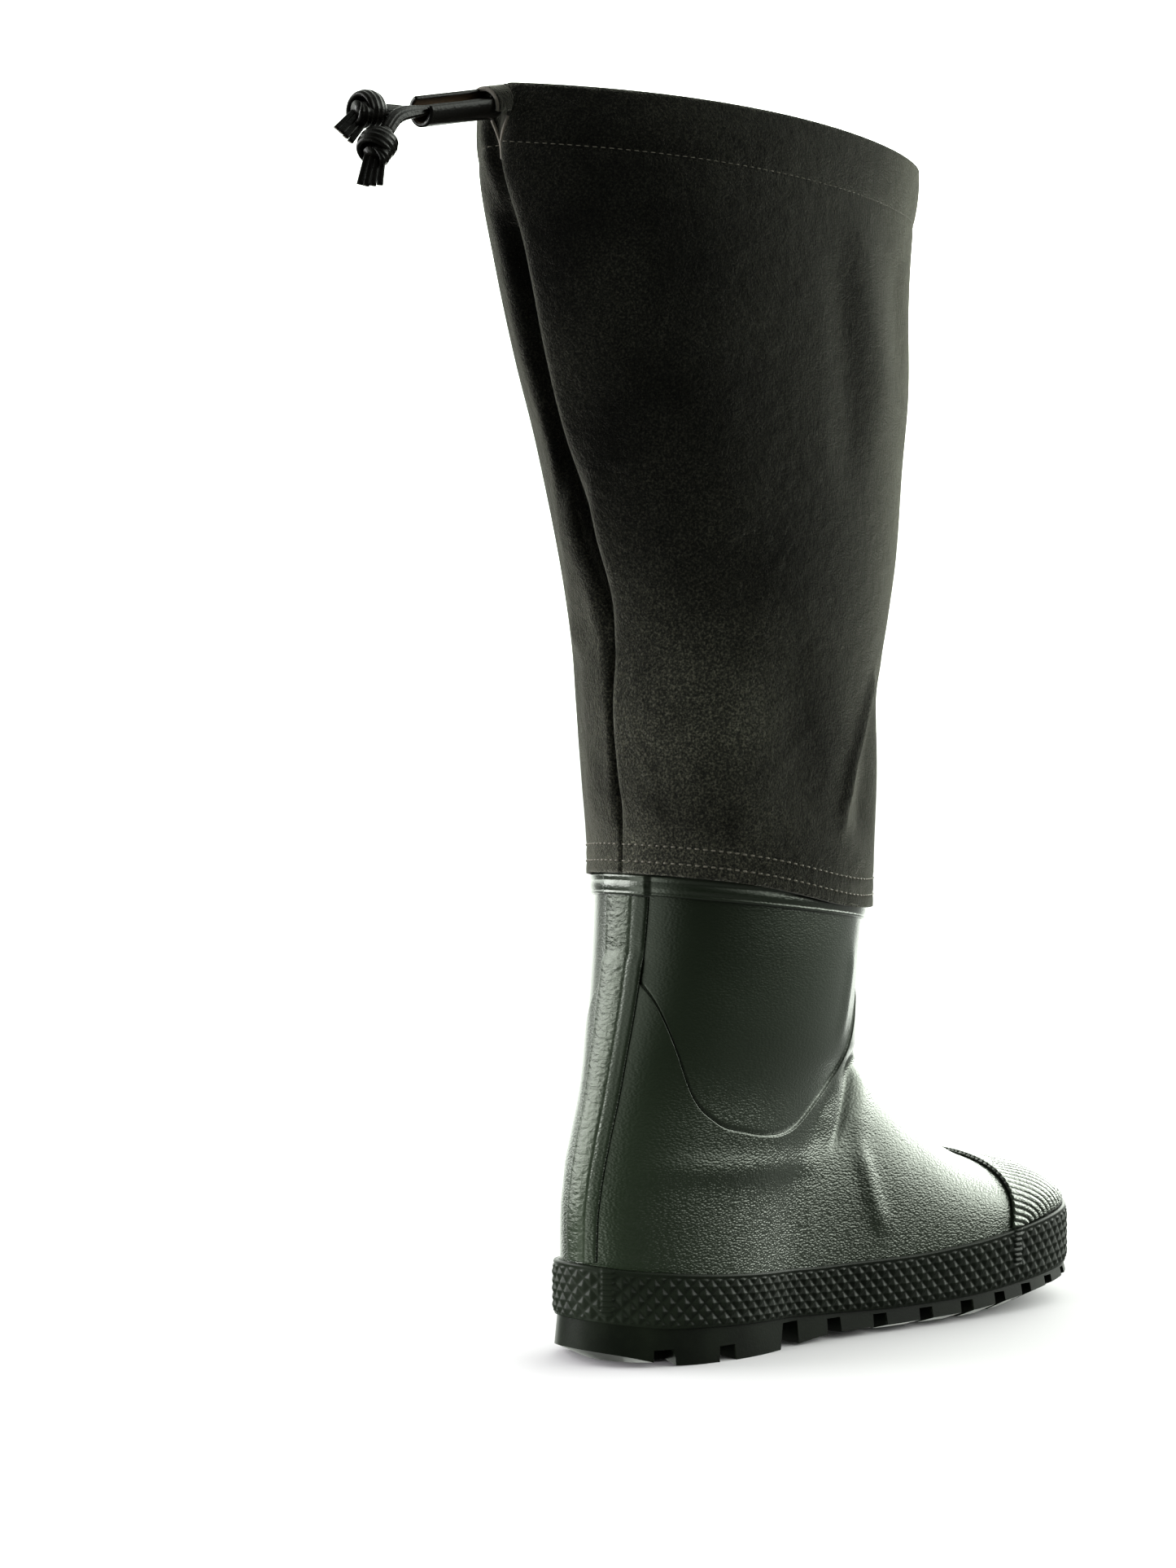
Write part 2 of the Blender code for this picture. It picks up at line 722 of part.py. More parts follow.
def build_foxing(paint):
    outer = []
    for row, share in enumerate(even(DIAMOND_ROWS)):
        ring = foxing_ring(share)
        raised = (np.arange(len(ring)) + row) % 2 == 0
        if row in (0, DIAMOND_ROWS):
            raised[:] = False
        low = plan_offset(ring, FOXING_GAP + FOXING_THICK)
        proud = plan_offset(ring, FOXING_GAP + FOXING_THICK + DIAMOND_RISE)
        outer.append(np.where(raised[:, None], proud, low))
    inner = [plan_offset(foxing_ring(share), FOXING_GAP) for share in FOXING_INNER_SHARES]
    columns = len(inner[0])
    points = np.concatenate(outer + inner[::-1])
    faces = []
    for a, b, c, d in ring_faces(len(outer), columns):
        row, column = divmod(a, columns)
        tip_first = (row + column) % 2 == 0
        faces += [(a, b, d), (b, c, d)] if tip_first else [(a, b, c), (a, c, d)]
    faces += ring_faces(len(inner) + 1, columns, (len(outer) - 1) * columns)
    last = len(points) - columns
    for c in range(columns):
        after = (c + 1) % columns
        faces.append((last + c, last + after, after, c))
    return solid("foxing", points, faces, paint, smooth=False)


def build_insole(paint):
    outline = sole_ring(feather_up, even(UPPER_HALF))
    edge = plan_offset(outline, -(UPPER_WALL + 2 * GAP))
    low = at_height(edge, feather_up)
    high = at_height(plan_offset(edge, -INSOLE_BEVEL), lambda along: feather_up(along) + INSOLE_THICK)
    return plug("insole", [low, high], paint)


# Toe cap, heel strip and top band, each laid on the upper


def cap_point(along, angle):
    """Point of the last in a direction round the toe's long axis, 0 is the outer side."""
    side = -1 if np.cos(angle) > 0 else 1
    heading = np.array([abs(np.cos(angle)), np.sin(angle)])

    def inside(reach):
        up = CAP_AXIS_UP + reach * heading[1]
        return half_width(np.array(along), up, side) > reach * heading[0]

    reach = float(crossing(inside, 0.0, CAP_REACH))
    return [along, side * reach * heading[0], CAP_AXIS_UP + reach * heading[1]]


def cap_front(shares):
    """Line round the toe just above the foxing, from the outer corner of the cap to the inner one."""
    ring = sole_ring(lambda along: foxing_top(along) + GAP, even(FINE))
    round_toe = ring[ring[:, 0] > CAP_LINE_SIDE + CAP_CORNER]
    return spread(round_toe, shares)


def build_toe_cap(paint):
    turns = even(CAP_COLUMNS)
    front = cap_front(turns)
    front_angle = np.arctan2(front[:, 2] - CAP_AXIS_UP, -front[:, 1])
    back = CAP_LINE_SIDE + (CAP_LINE_TOP - CAP_LINE_SIDE) * np.sin(np.pi * turns)
    low = foxing_top(CAP_LINE_SIDE) + GAP
    outer_low, inner_low = [
        np.arctan2(low - CAP_AXIS_UP, half_width(np.array(CAP_LINE_SIDE), low, side)) for side in (-1, 1)
    ]
    back_angle = outer_low + (np.pi - outer_low - inner_low) * turns
    grid = []
    for share in even(CAP_ROWS):
        ease = share * (2 - share)
        along = back + (front[:, 0] - back) * ease
        angle = back_angle + (front_angle - back_angle) * share
        grid.append([cap_point(*spot) for spot in zip(along, angle)])
    grid = np.array(grid)
    grid[-1] = front
    normals = last_normals(grid)
    return sheet("toe_cap", grid + normals * (CAP_GAP + CAP_THICK), grid + normals * CAP_GAP, paint)


def build_back_strip(paint):
    levels = upper_levels(even(STRIP_FINE))
    columns = levels.shape[1]
    normals = ring_normals(levels)
    back = levels[:, 0, 2]
    floor = float(foxing_top(0.0)) + GAP
    roof = COLLAR_BACK - LAP - BAND_HEIGHT - 2 * GAP
    outer = []
    inner = []
    for share in even(STRIP_ROWS):
        up = floor + (roof - floor) * share
        level = np.interp(up, back, even(UPPER_LEVELS - 1)) * (UPPER_LEVELS - 1)
        low = min(int(level), UPPER_LEVELS - 2)
        part = level - low
        ring = levels[low] * (1 - part) + levels[low + 1] * part
        facing = normals[low] * (1 - part) + normals[low + 1] * part
        half = STRIP_HALF_LOW + (STRIP_HALF_TOP - STRIP_HALF_LOW) * share
        sides = np.concatenate([ring[columns // 2 :], ring[: columns // 2]])
        turned = np.concatenate([facing[columns // 2 :], facing[: columns // 2]])
        steps = np.linalg.norm(np.diff(sides, axis=0), axis=1)
        run = np.concatenate([[0.0], np.cumsum(steps)])
        run = run - run[columns - columns // 2]
        sink = VAMP_STEP * fade(up, STRIP_BUMP_FROM, STRIP_BUMP_TO)
        outer_row = []
        inner_row = []
        for place in np.linspace(-half, half, STRIP_COLUMNS + 1):
            spot = np.array([np.interp(place, run, sides[:, k]) for k in range(3)])
            face = np.array([np.interp(place, run, turned[:, k]) for k in range(3)])
            round_off = 1 - STRIP_EDGE_DROP * (abs(place) / half) ** STRIP_EDGE_POWER
            outer_row.append(spot + face * (GAP - sink + STRIP_THICK * round_off))
            inner_row.append(spot + face * (GAP - sink))
        outer.append(outer_row)
        inner.append(inner_row)
    return sheet("back_strip", np.array(outer), np.array(inner), paint)


def collar_line(drop):
    """Height of a line that runs a fixed drop below the collar."""

    def height(along):
        back = leg_back(COLLAR_BACK)
        front = leg_front(COLLAR_FRONT)
        share = (along - back) / (front - back)
        return COLLAR_BACK + (COLLAR_FRONT - COLLAR_BACK) * share - drop

    return height


def leg_ring(drop, shares):
    height = collar_line(drop)

    def inside(along):
        return leg_square(along, height(along)) > 0

    back = crossing(inside, [ANKLE[0]], [ANKLE[0] - LEG_SEARCH])[0]
    front = crossing(inside, [ANKLE[0]], [ANKLE[0] + LEG_SEARCH])[0]
    return ring_between([back], [front], height, shares)


def build_top_band(paint):
    outer = []
    inner = []
    for row in BAND_PROFILE:
        ring = leg_ring(LAP + GAP + BAND_HEIGHT * (1 - row.share), even(UPPER_HALF))
        outer.append(plan_offset(ring, GAP - VAMP_STEP + BAND_THICK * row.proud))
        inner.append(plan_offset(ring, GAP - VAMP_STEP))
    return shell("top_band", np.stack(outer), np.stack([inner[0], inner[-1]]), paint)


# Suede shaft, lapped over the top of the galosh


def shaft_ring(row, shares):
    """Egg-shaped ring, drawn to a point at the back where the seam sinks into a pleat."""
    turn = np.linspace(0.0, np.pi, FINE)
    swing = (1 - np.cos(turn)) / 2
    along = row.back + (row.front - row.back) * swing
    up = row.back_up + (row.front_up - row.back_up) * swing - row.dip * np.sin(turn)
    sides = []
    for side, half in ((-1, row.outer), (1, row.inner)):
        power = row.point + (1.0 - row.point) * swing
        width = half * np.sin(turn) ** power
        width[-1] = 0.0
        sink = row.pleat * np.exp(-(((side * width - row.seam) / row.half) ** 2)) * (turn < np.pi / 2)
        sides.append(spread(np.stack([along + sink, side * width, up], axis=1), shares))
    return np.concatenate([sides[0], sides[1][-2:0:-1]])


def build_shaft(paint):
    shares = even(SHAFT_HALF) ** SHAFT_CROWDING
    rings = []
    for drop in (LAP, 0.0):
        ring = leg_ring(drop, shares)
        rings.append(plan_offset(ring, HEM_STAND_OFF + SUEDE_WALL))
    rings += [shaft_ring(row, shares) for row in SHAFT]
    outer = np.stack(rings)
    inner = np.stack([plan_offset(ring, -SUEDE_WALL) for ring in outer])
    return shell("shaft", outer, inner, paint)


# Drawstring


def frame_along(route):
    """Unit directions of a route and two directions square to each."""
    heading = np.gradient(route, axis=0)
    heading = heading / np.linalg.norm(heading, axis=1, keepdims=True)
    flat = np.cross([0.0, 0.0, 1.0], heading)
    flat = flat / np.linalg.norm(flat, axis=1, keepdims=True)
    return heading, flat, np.cross(heading, flat)


def smooth_route(rows, count):
    points = np.array([[row.along, row.across, row.up] for row in rows])
    steps = np.linalg.norm(np.diff(points, axis=0), axis=1)
    Stop = namedtuple("Stop", "run along across up")
    table = [Stop(run, *point) for run, point in zip(np.concatenate([[0], np.cumsum(steps)]), points)]
    run = np.linspace(0.0, steps.sum(), count)
    return np.stack([curve(table, column)(run) for column in LaceRow._fields], axis=1)


def build_lace(name, rows, paint):
    route = smooth_route(rows, LACE_POINTS)
    cord = bpy.data.curves.new(name, "CURVE")
    cord.dimensions = "3D"
    cord.bevel_depth = LACE_RADIUS * MM
    cord.bevel_resolution = 2
    cord.use_fill_caps = True
    line = cord.splines.new("POLY")
    line.points.add(len(route) - 1)
    for point, spot in zip(line.points, (route - [HEEL_CENTRE, 0.0, 0.0]) * MM):
        point.co = (*spot, 1.0)
    cord.materials.append(paint)
    made = bpy.data.objects.new(name, cord)
    bpy.context.collection.objects.link(made)
    return made


def build_knot(name, rows, paint):
    """Rounded knot at the far end of a lace, with its flat tail."""
    heading = frame_along(smooth_route(rows, LACE_POINTS))[0][-1]
    end = np.array(rows[-1][:3]) + heading * GAP
    flat = np.cross([0.0, 1.0, 0.0], heading)
    flat = flat / np.linalg.norm(flat)
    thin = np.cross(heading, flat)
    turns = np.linspace(0.0, 2 * np.pi, KNOT_SIDES, endpoint=False)
    rings = []
    for row in KNOT:
        wide = np.outer(np.cos(turns), flat) * row.radius
        narrow = np.outer(np.sin(turns), thin) * row.radius * row.flat
        rings.append(end + heading * row.run + wide + narrow)
    return plug(name, rings, paint, smooth=True)


def build_slider(paint):
    start = np.array(SLIDER_START)
    end = np.array(SLIDER_END)
    heading = (end - start) / np.linalg.norm(end - start)
    level = np.array([0.0, -1.0, 0.0])
    upright = np.cross(heading, level)
    turns = np.radians(np.linspace(SLIDER_SLIT[1], SLIDER_SLIT[0] + 360.0, SLIDER_STEPS + 1))
    grids = []
    for radius in (SLIDER_RADIUS, SLIDER_RADIUS - SLIDER_WALL):
        arc = np.outer(np.cos(turns), level) * radius + np.outer(np.sin(turns), upright) * radius
        grids.append(np.stack([start + arc, end + arc]))
    return sheet("lace_slider", grids[0], grids[1], paint)


# Assembly


def clear_scene():
    for old in list(bpy.data.objects):
        bpy.data.objects.remove(old, do_unlink=True)


def build():
    clear_scene()
    green = material(GREEN_RUBBER)
    black = material(BLACK_RUBBER)
    suede = material(GREY_SUEDE)
    leather = material(BLACK_LEATHER)
    felt = material(GREY_FELT)
    build_outsole(black)
    build_insole(felt)
    build_upper(green)
    build_foxing(black)
    build_toe_cap(green)
    build_back_strip(green)
    build_top_band(green)
    build_shaft(suede)
    build_lace("lace_outer", OUTER_LACE, leather)
    build_lace("lace_inner", INNER_LACE, leather)
    build_knot("knot_outer", OUTER_LACE, leather)
    build_knot("knot_inner", INNER_LACE, leather)
    build_slider(leather)


build()
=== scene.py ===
"""Right rubber boot with a suede shaft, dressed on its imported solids.

Shapes are worked out in millimetres: a point is (along, across, up), along runs forward from the heel's
back edge, across is positive to the inner side of the foot. Meshes are made in metres, toe along +X.
"""

from collections import namedtuple
from functools import partial

import bmesh
import bpy
import numpy as np
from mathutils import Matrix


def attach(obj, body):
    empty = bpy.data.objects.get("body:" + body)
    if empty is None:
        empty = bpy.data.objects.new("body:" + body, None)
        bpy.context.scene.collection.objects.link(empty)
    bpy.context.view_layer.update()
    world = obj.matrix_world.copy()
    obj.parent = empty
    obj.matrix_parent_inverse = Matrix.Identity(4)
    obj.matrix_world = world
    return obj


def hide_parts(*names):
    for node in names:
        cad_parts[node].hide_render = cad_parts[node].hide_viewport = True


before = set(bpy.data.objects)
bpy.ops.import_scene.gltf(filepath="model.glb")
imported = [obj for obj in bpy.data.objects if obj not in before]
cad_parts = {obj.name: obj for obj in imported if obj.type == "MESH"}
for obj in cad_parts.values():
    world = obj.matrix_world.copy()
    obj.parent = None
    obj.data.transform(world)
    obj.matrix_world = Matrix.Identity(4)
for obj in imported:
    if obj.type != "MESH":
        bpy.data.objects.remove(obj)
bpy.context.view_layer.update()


# Outsole: one moulding of black rubber, a heel block and square lugs cut by grooves round its edge.
# It is vulcanised under the foot, and its outline is that of the last the whole boot is built on.

MM = 0.001
PER_METRE = 1 / MM
HEEL_CENTRE, UPPER_TIP, PLATE_THICK, GAP = 38.0, 298.0, 5.0, 0.3
FINE, BISECTIONS, TINY = 240, 34, 1e-9


def rows_of(columns, *rows):
    """A table whose rows have named values."""
    row_kind = namedtuple("Row", columns)
    return [row_kind(*row) for row in rows]


SOLE_SIDE = rows_of(
    "along edge flat low top",
    (-4, 7.5, 3.0, 20.0, 43.5),
    (10, 4.5, 1.0, 17.8, 40.4),
    (24, 0.8, 0.0, 15.8, 38.8),
    (42, 0.0, 0.0, 15.0, 37.0),
    (82, 0.0, 0.0, 13.3, 34.0),
    (117, 3.0, 2.0, 11.6, 32.4),
    (156, 3.4, 0.0, 10.4, 32.4),
    (197, 4.6, 0.0, 11.2, 34.6),
    (222, 6.8, 1.2, 13.0, 37.2),
    (255, 10.0, 5.0, 15.4, 41.0),
    (303, 12.6, 11.0, 17.4, 44.5),
)
FOOT_PLAN = rows_of(
    "along outer inner",
    (60, 34.5, 34.5),
    (110, 37, 32),
    (160, 46, 41),
    (205, 53, 49),
    (240, 54, 53),
    (300, 54, 55),
)
FOOT_RIDGE = rows_of(
    "along up",
    (60, 152),
    (140, 140),
    (160, 121.5),
    (172, 109),
    (184, 98.5),
    (204, 81.5),
    (216, 74.3),
    (230, 68.8),
    (246, 66),
    (300, 63.5),
)
LEG = rows_of(
    "up back front half",
    (0, 3.5, 118, 36),
    (30, 3, 119, 38),
    (58, 3, 120, 38),
    (75, 5, 124, 38.5),
    (92, 9, 133, 40),
    (110, 14, 146.5, 42),
    (127, 18, 159.5, 46),
    (144, 22, 158, 49),
    (168, 26.5, 158, 52),
    (190, 28.5, 160, 53.5),
    (222, 29, 161, 54.5),
)
TOE_CLOSE_FROM, TOE_CLOSE_POWER = 228.0, 2.3
TOE_DROP_FROM, TOE_DROP_POWER = 246.0, 2.2
HEEL_CLOSE_FROM, HEEL_CLOSE_END = 112.0, 45.0
WIDEST_ABOVE_FEATHER = 14.0
ARCH_POWER, TOE_ARCH_POWER, TOE_ARCH_FADE = 2.5, 3.2, (185.0, 232.0)
LEG_BLEND, SIDES_FADE, SEARCH_MARGIN = 300.0, (60.0, 130.0), 20.0


def curve(table, column):
    """Smooth function of the table's first column, straight beyond its ends."""
    xs = np.array([row[0] for row in table], float)
    ys = np.array([getattr(row, column) for row in table], float)
    chord = np.diff(ys) / np.diff(xs)
    slope = np.concatenate([chord[:1], (chord[1:] + chord[:-1]) / 2, chord[-1:]])
    slope[1:-1][chord[1:] * chord[:-1] <= 0] = 0.0

    def value(x):
        x = np.asarray(x, float)
        i = np.clip(np.searchsorted(xs, x) - 1, 0, len(xs) - 2)
        width = xs[i + 1] - xs[i]
        t = np.clip((x - xs[i]) / width, 0.0, 1.0)
        bend = width * t * (1 - t) * (slope[i] * (1 - t) - slope[i + 1] * t)
        inside = ys[i] + (ys[i + 1] - ys[i]) * t * t * (3 - 2 * t) + bend
        return inside + slope[0] * np.minimum(x - xs[0], 0.0) + slope[-1] * np.maximum(x - xs[-1], 0.0)

    return value


def fade(x, start, end):
    """Soft step from 0 at the start to 1 at the end."""
    t = np.clip((x - start) / (end - start), 0.0, 1.0)
    return t * t * (3 - 2 * t)


def hump(x, middle, half):
    """Soft bump of height 1 round a middle value."""
    return np.exp(-(((x - middle) / half) ** 2))


def both(first, second):
    """Product of two shares where both are positive, the lower one elsewhere."""
    return np.where((first > 0) & (second > 0), first * second, np.minimum(first, second))


def crossing(inside, low, high):
    """Value between low and high where the test turns from true to false."""
    low, high = np.array(low, float), np.array(high, float)
    for _ in range(BISECTIONS):
        middle = (low + high) / 2
        still = inside(middle)
        low, high = np.where(still, middle, low), np.where(still, high, middle)
    return (low + high) / 2


def unit(vectors):
    return vectors / np.maximum(np.linalg.norm(vectors, axis=-1, keepdims=True), TINY)


def run_along(points):
    """Length of a polyline from its start to each of its points."""
    return np.concatenate([[0.0], np.cumsum(np.linalg.norm(np.diff(points, axis=0), axis=1))])


def at_run(stops, run, rows):
    """Rows that belong to a polyline's points, read off at stops along its run."""
    return np.stack([np.interp(stops, run, rows[:, k]) for k in range(3)], axis=-1)


def spread(points, shares):
    """Points of a polyline at the given shares of its length."""
    run = run_along(points)
    return at_run(shares * run[-1], run, points)


def even(count):
    return np.linspace(0.0, 1.0, count + 1)


edge_up, flat_up = curve(SOLE_SIDE, "edge"), curve(SOLE_SIDE, "flat")
foxing_low, foxing_top = curve(SOLE_SIDE, "low"), curve(SOLE_SIDE, "top")
plan_outer, plan_inner = curve(FOOT_PLAN, "outer"), curve(FOOT_PLAN, "inner")
ridge_up = curve(FOOT_RIDGE, "up")
leg_back, leg_front, leg_half = curve(LEG, "back"), curve(LEG, "front"), curve(LEG, "half")


def feather_up(along):
    """Height at which the wall of the upper starts, just above the sole's plate."""
    return foxing_low(along) + PLATE_THICK


def foot_square(along, up):
    """Square of the foot's half width at a point of the middle plane, negative outside it."""
    toe_share = np.clip((along - TOE_CLOSE_FROM) / (UPPER_TIP - TOE_CLOSE_FROM), 0.0, None)
    toe = 1 - toe_share**TOE_CLOSE_POWER
    toe = np.sign(toe) * np.abs(toe) ** (2 / TOE_CLOSE_POWER)
    heel_share = np.clip((HEEL_CLOSE_FROM - along) / (HEEL_CLOSE_FROM - HEEL_CLOSE_END), 0.0, None)
    drop_share = np.clip((along - TOE_DROP_FROM) / (UPPER_TIP - TOE_DROP_FROM), 0.0, 1.0)
    drop = (1 - drop_share**TOE_DROP_POWER) ** (1 / TOE_DROP_POWER)
    widest = feather_up(along) + WIDEST_ABOVE_FEATHER
    arch = np.maximum((ridge_up(along) - widest) * drop, 1.0)
    rise = np.clip((up - widest) / arch, 0.0, None)
    half = (plan_outer(along) + plan_inner(along)) / 2
    power = ARCH_POWER + (TOE_ARCH_POWER - ARCH_POWER) * fade(along, *TOE_ARCH_FADE)
    return half**2 * both(both(toe, 1 - heel_share**2), 1 - rise**power)


def leg_square(along, up):
    middle = (leg_back(up) + leg_front(up)) / 2
    reach = (leg_front(up) - leg_back(up)) / 2
    return leg_half(up) ** 2 * (1 - ((along - middle) / reach) ** 2)


def last_square(along, up):
    foot, leg = foot_square(along, up), leg_square(along, up)
    return (foot + leg + np.sqrt((foot - leg) ** 2 + LEG_BLEND**2)) / 2


def lean(along, up, side):
    """Share by which one side of the foot is wider than the mean of both."""
    plan = np.where(side < 0, plan_outer(along), plan_inner(along))
    mean = (plan_outer(along) + plan_inner(along)) / 2
    return 1 + (plan / mean - 1) * (1 - fade(up, *SIDES_FADE))


def half_width(along, up, side):
    """Half width of the last: side -1 is the outer side of the foot, +1 the inner."""
    return lean(along, up, side) * np.sqrt(np.maximum(last_square(along, up), 0.0))


def ring_between(back, front, height, shares):
    """Closed section of the last from a back point to a front point, at the given girth shares."""
    swing = (1 - np.cos(np.linspace(0.0, np.pi, FINE))) / 2
    along = back + (front - back) * swing
    up = height(along)
    sides = []
    for side in (-1, 1):
        width = half_width(along, up, side)
        width[[0, -1]] = 0.0
        sides.append(spread(np.stack([along, side * width, up], axis=1), shares))
    return np.concatenate([sides[0], sides[1][-2:0:-1]])


def sole_ring(height, shares):
    """Section of the last that follows a line of the sole's side."""

    def inside(along):
        return last_square(along, height(along)) > 0

    back = crossing(inside, [HEEL_CENTRE], [-SEARCH_MARGIN])[0]
    front = crossing(inside, [HEEL_CENTRE], [UPPER_TIP + SEARCH_MARGIN])[0]
    return ring_between(back, front, height, shares)


def plan_offset(ring, distance):
    """Ring moved outward in plan, each point keeping its height."""
    tangent = np.roll(ring, -1, axis=0) - np.roll(ring, 1, axis=0)
    normal = unit(np.stack([tangent[:, 1], -tangent[:, 0]], axis=1))
    normal = normal * np.sign((normal * (ring[:, :2] - ring[:, :2].mean(axis=0))).sum())
    moved = ring.copy()
    moved[:, :2] = ring[:, :2] + normal * np.reshape(distance, (-1, 1))
    return moved


def at_height(ring, height):
    moved = ring.copy()
    moved[:, 2] = height(ring[:, 0])
    return moved


def grid_faces(rows, columns, closed=False, start=0):
    """Quads between rows of points that are numbered row by row."""
    here = np.arange(rows - 1)[:, None] * columns + np.arange(columns if closed else columns - 1)[None, :]
    there = here - here % columns + (here + 1) % columns
    quads = np.stack([here, there, there + columns, here + columns], axis=-1)
    return (quads.reshape(-1, 4) + start).tolist()


def make_piece(name, points, faces, finishes, slot, finish_index=None, smooth=True):
    """A mesh of the boot from points in millimetres, facing outward, that rides on its body."""
    mesh = bpy.data.meshes.new(name)
    points = np.reshape(points, (-1, 3)) - [HEEL_CENTRE, 0.0, 0.0]
    mesh.from_pydata((points * MM).tolist(), [], faces)
    for finish in finishes:
        mesh.materials.append(finish)
    if finish_index is not None:
        mesh.polygons.foreach_set("material_index", finish_index)
    work = bmesh.new()
    work.from_mesh(mesh)
    bmesh.ops.recalc_face_normals(work, faces=work.faces)
    work.to_mesh(mesh)
    work.free()
    mesh.polygons.foreach_set("use_smooth", [smooth] * len(mesh.polygons))
    piece = bpy.data.objects.new(name, mesh)
    bpy.context.scene.collection.objects.link(piece)
    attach(piece, "root")
    return piece


def linear(hex_colour):
    """Linear colour from an sRGB hex value."""
    parts = np.array([int(hex_colour[k : k + 2], 16) for k in (1, 3, 5)]) / 255
    return (*np.where(parts <= 0.04045, parts / 12.92, ((parts + 0.055) / 1.055) ** 2.4), 1.0)


def add_node(tree, sockets, kind, links=None, values=None, stops=(), into=(), **settings):
    """A shader node with its settings, set values and colour stops, linked from others and into sockets."""
    # A new colour ramp has two stops of its own, further ones are added
    node = tree.nodes.new("ShaderNode" + kind)
    for name, value in settings.items():
        setattr(node, name, value)
    for name, value in (values or {}).items():
        node.inputs[name].default_value = value
    for k, (spot, colour) in enumerate(stops):
        stop = node.color_ramp.elements[k] if k < 2 else node.color_ramp.elements.new(spot)
        stop.position, stop.color = spot, linear(colour)
    for name, source in (links or {}).items():
        output = source.outputs[0] if isinstance(source, bpy.types.Node) else source
        tree.links.new(output, node.inputs[name])
    for name in into:
        tree.links.new(node.outputs[0], sockets[name])
    return node


def new_finish(name, **constants):
    """A material with its shader's constant sockets set, what adds its nodes, and its place in the boot."""
    finish = bpy.data.materials.new(name)
    finish.use_nodes = True
    sockets = finish.node_tree.nodes["Principled BSDF"].inputs
    for socket, value in constants.items():
        sockets[socket.replace("_", " ").title().replace("Ior", "IOR")].default_value = value
    add = partial(add_node, finish.node_tree, sockets)
    return finish, add, add("TexCoord").outputs["Object"]


# Black sole rubber is pressed in a steel mould: dull, with a fine even skin and a little grey dust.
# The grit of the skin is drawn coarser than it is, so that it shows.
SOLE_BLACK, SOLE_DUST = "#0b0e0a", "#181d15"
SKIN_GRIT, SKIN_DEPTH, DUST_PATCH = 0.9, 0.15, 26.0
sole_rubber, add, place = new_finish("moulded_sole_rubber", ior=1.5, specular_ior_level=0.1)
dust = add("TexNoise", {"Vector": place}, {"Scale": PER_METRE / DUST_PATCH, "Detail": 5.0})
add("ValToRGB", {"Fac": dust}, stops=[(0.38, SOLE_BLACK), (0.8, SOLE_DUST)], into=["Base Color"])
add("MapRange", {"Value": dust}, {"To Min": 0.28, "To Max": 0.42}, into=["Roughness"])
skin = add("TexNoise", {"Vector": place}, {"Scale": PER_METRE / SKIN_GRIT, "Detail": 2.0})
add("Bump", {"Height": skin}, {"Strength": 0.35, "Distance": SKIN_DEPTH * MM}, into=["Normal"])

LEDGE, FLARE, FLAT_INSET = 1.2, 2.4, 9.0
GROOVE_DRAFT, CUTTER_MARGIN, CUTTER_HALF = 0.82, 8.0, 70.0
GROOVES = rows_of(
    "along width height outer inner",
    (22.5, 11, 7.0, 17, 17),
    (51, 10, 6.5, 17, 17),
    (117.5, 9, 9.4, 20, 18),
    (143, 9, 8.6, 22, 20),
    (169, 9, 8.6, 24, 22),
    (193, 9, 9.2, 24, 24),
    (214, 8, 10.6, 22, 22),
    (233, 8, 12.2, 20, 20),
    (252, 8, 13.4, 18, 18),
    (271, 7, 14.4, 14, 14),
)
BREAST_FROM, BREAST_TO, BREAST_HEIGHT, BREAST_SLANT = 87.0, 96.5, 10.8, 5.0
SOLE_HALF = 110
LUG_ROUND, LUG_SEGMENTS, LUG_ANGLE, SHARP_ANGLE = 0.5, 2, 0.6, 0.3
BOX_CORNERS = 8
BOX_FACES = [(0, 1, 2, 3), (4, 7, 6, 5), (0, 4, 5, 1), (1, 5, 6, 2), (2, 6, 7, 3), (3, 7, 4, 0)]


def groove_box(outline, row, reach, side):
    """Corners of a cutter standing across the sole's edge, narrower at its top."""
    half = outline[: len(outline) // 2 + 1] if side < 0 else outline[len(outline) // 2 :][::-1]
    half = half[np.argsort(half[:, 0])]
    places = np.interp(row.along + np.array([-row.width, 0.0, row.width]), half[:, 0], half[:, 1])
    tangent = unit(np.array([2 * row.width, places[2] - places[0]]))
    inward = np.array([-tangent[1], tangent[0]]) * -side
    corners = []
    for up, share in ((-CUTTER_MARGIN, 1.0), (row.height, GROOVE_DRAFT)):
        for run, sway in ((-CUTTER_MARGIN, -1), (-CUTTER_MARGIN, 1), (reach, 1), (reach, -1)):
            spot = [row.along, places[1]] + inward * run + tangent * sway * share * row.width / 2
            corners.append([*spot, up])
    return corners


outline = sole_ring(feather_up, even(SOLE_HALF))
tread_edge = plan_offset(outline, FLARE)
sole_rings = [
    at_height(outline, lambda along: feather_up(along) - GAP),
    at_height(outline, lambda along: foxing_low(along) - GAP),
    at_height(plan_offset(outline, LEDGE), lambda along: foxing_low(along) - GAP),
    at_height(tread_edge, edge_up),
    at_height(plan_offset(outline, -FLAT_INSET), flat_up),
]
columns = len(outline)
fills = []
for first in (0, (len(sole_rings) - 1) * columns):
    last = first + columns
    fills += [(first, first + 1, last - 1)]
    fills += [(first + c, first + c + 1, last - c - 1, last - c) for c in range(1, SOLE_HALF - 1)]
    fills += [(first + SOLE_HALF - 1, first + SOLE_HALF, first + SOLE_HALF + 1)]
faces = grid_faces(len(sole_rings), columns, closed=True) + fills
outsole = make_piece("outsole_rubber", sole_rings, faces, [sole_rubber], "black_rubber", smooth=False)
corners = []
for row in GROOVES:
    corners += groove_box(tread_edge, row, row.outer, -1) + groove_box(tread_edge, row, row.inner, 1)
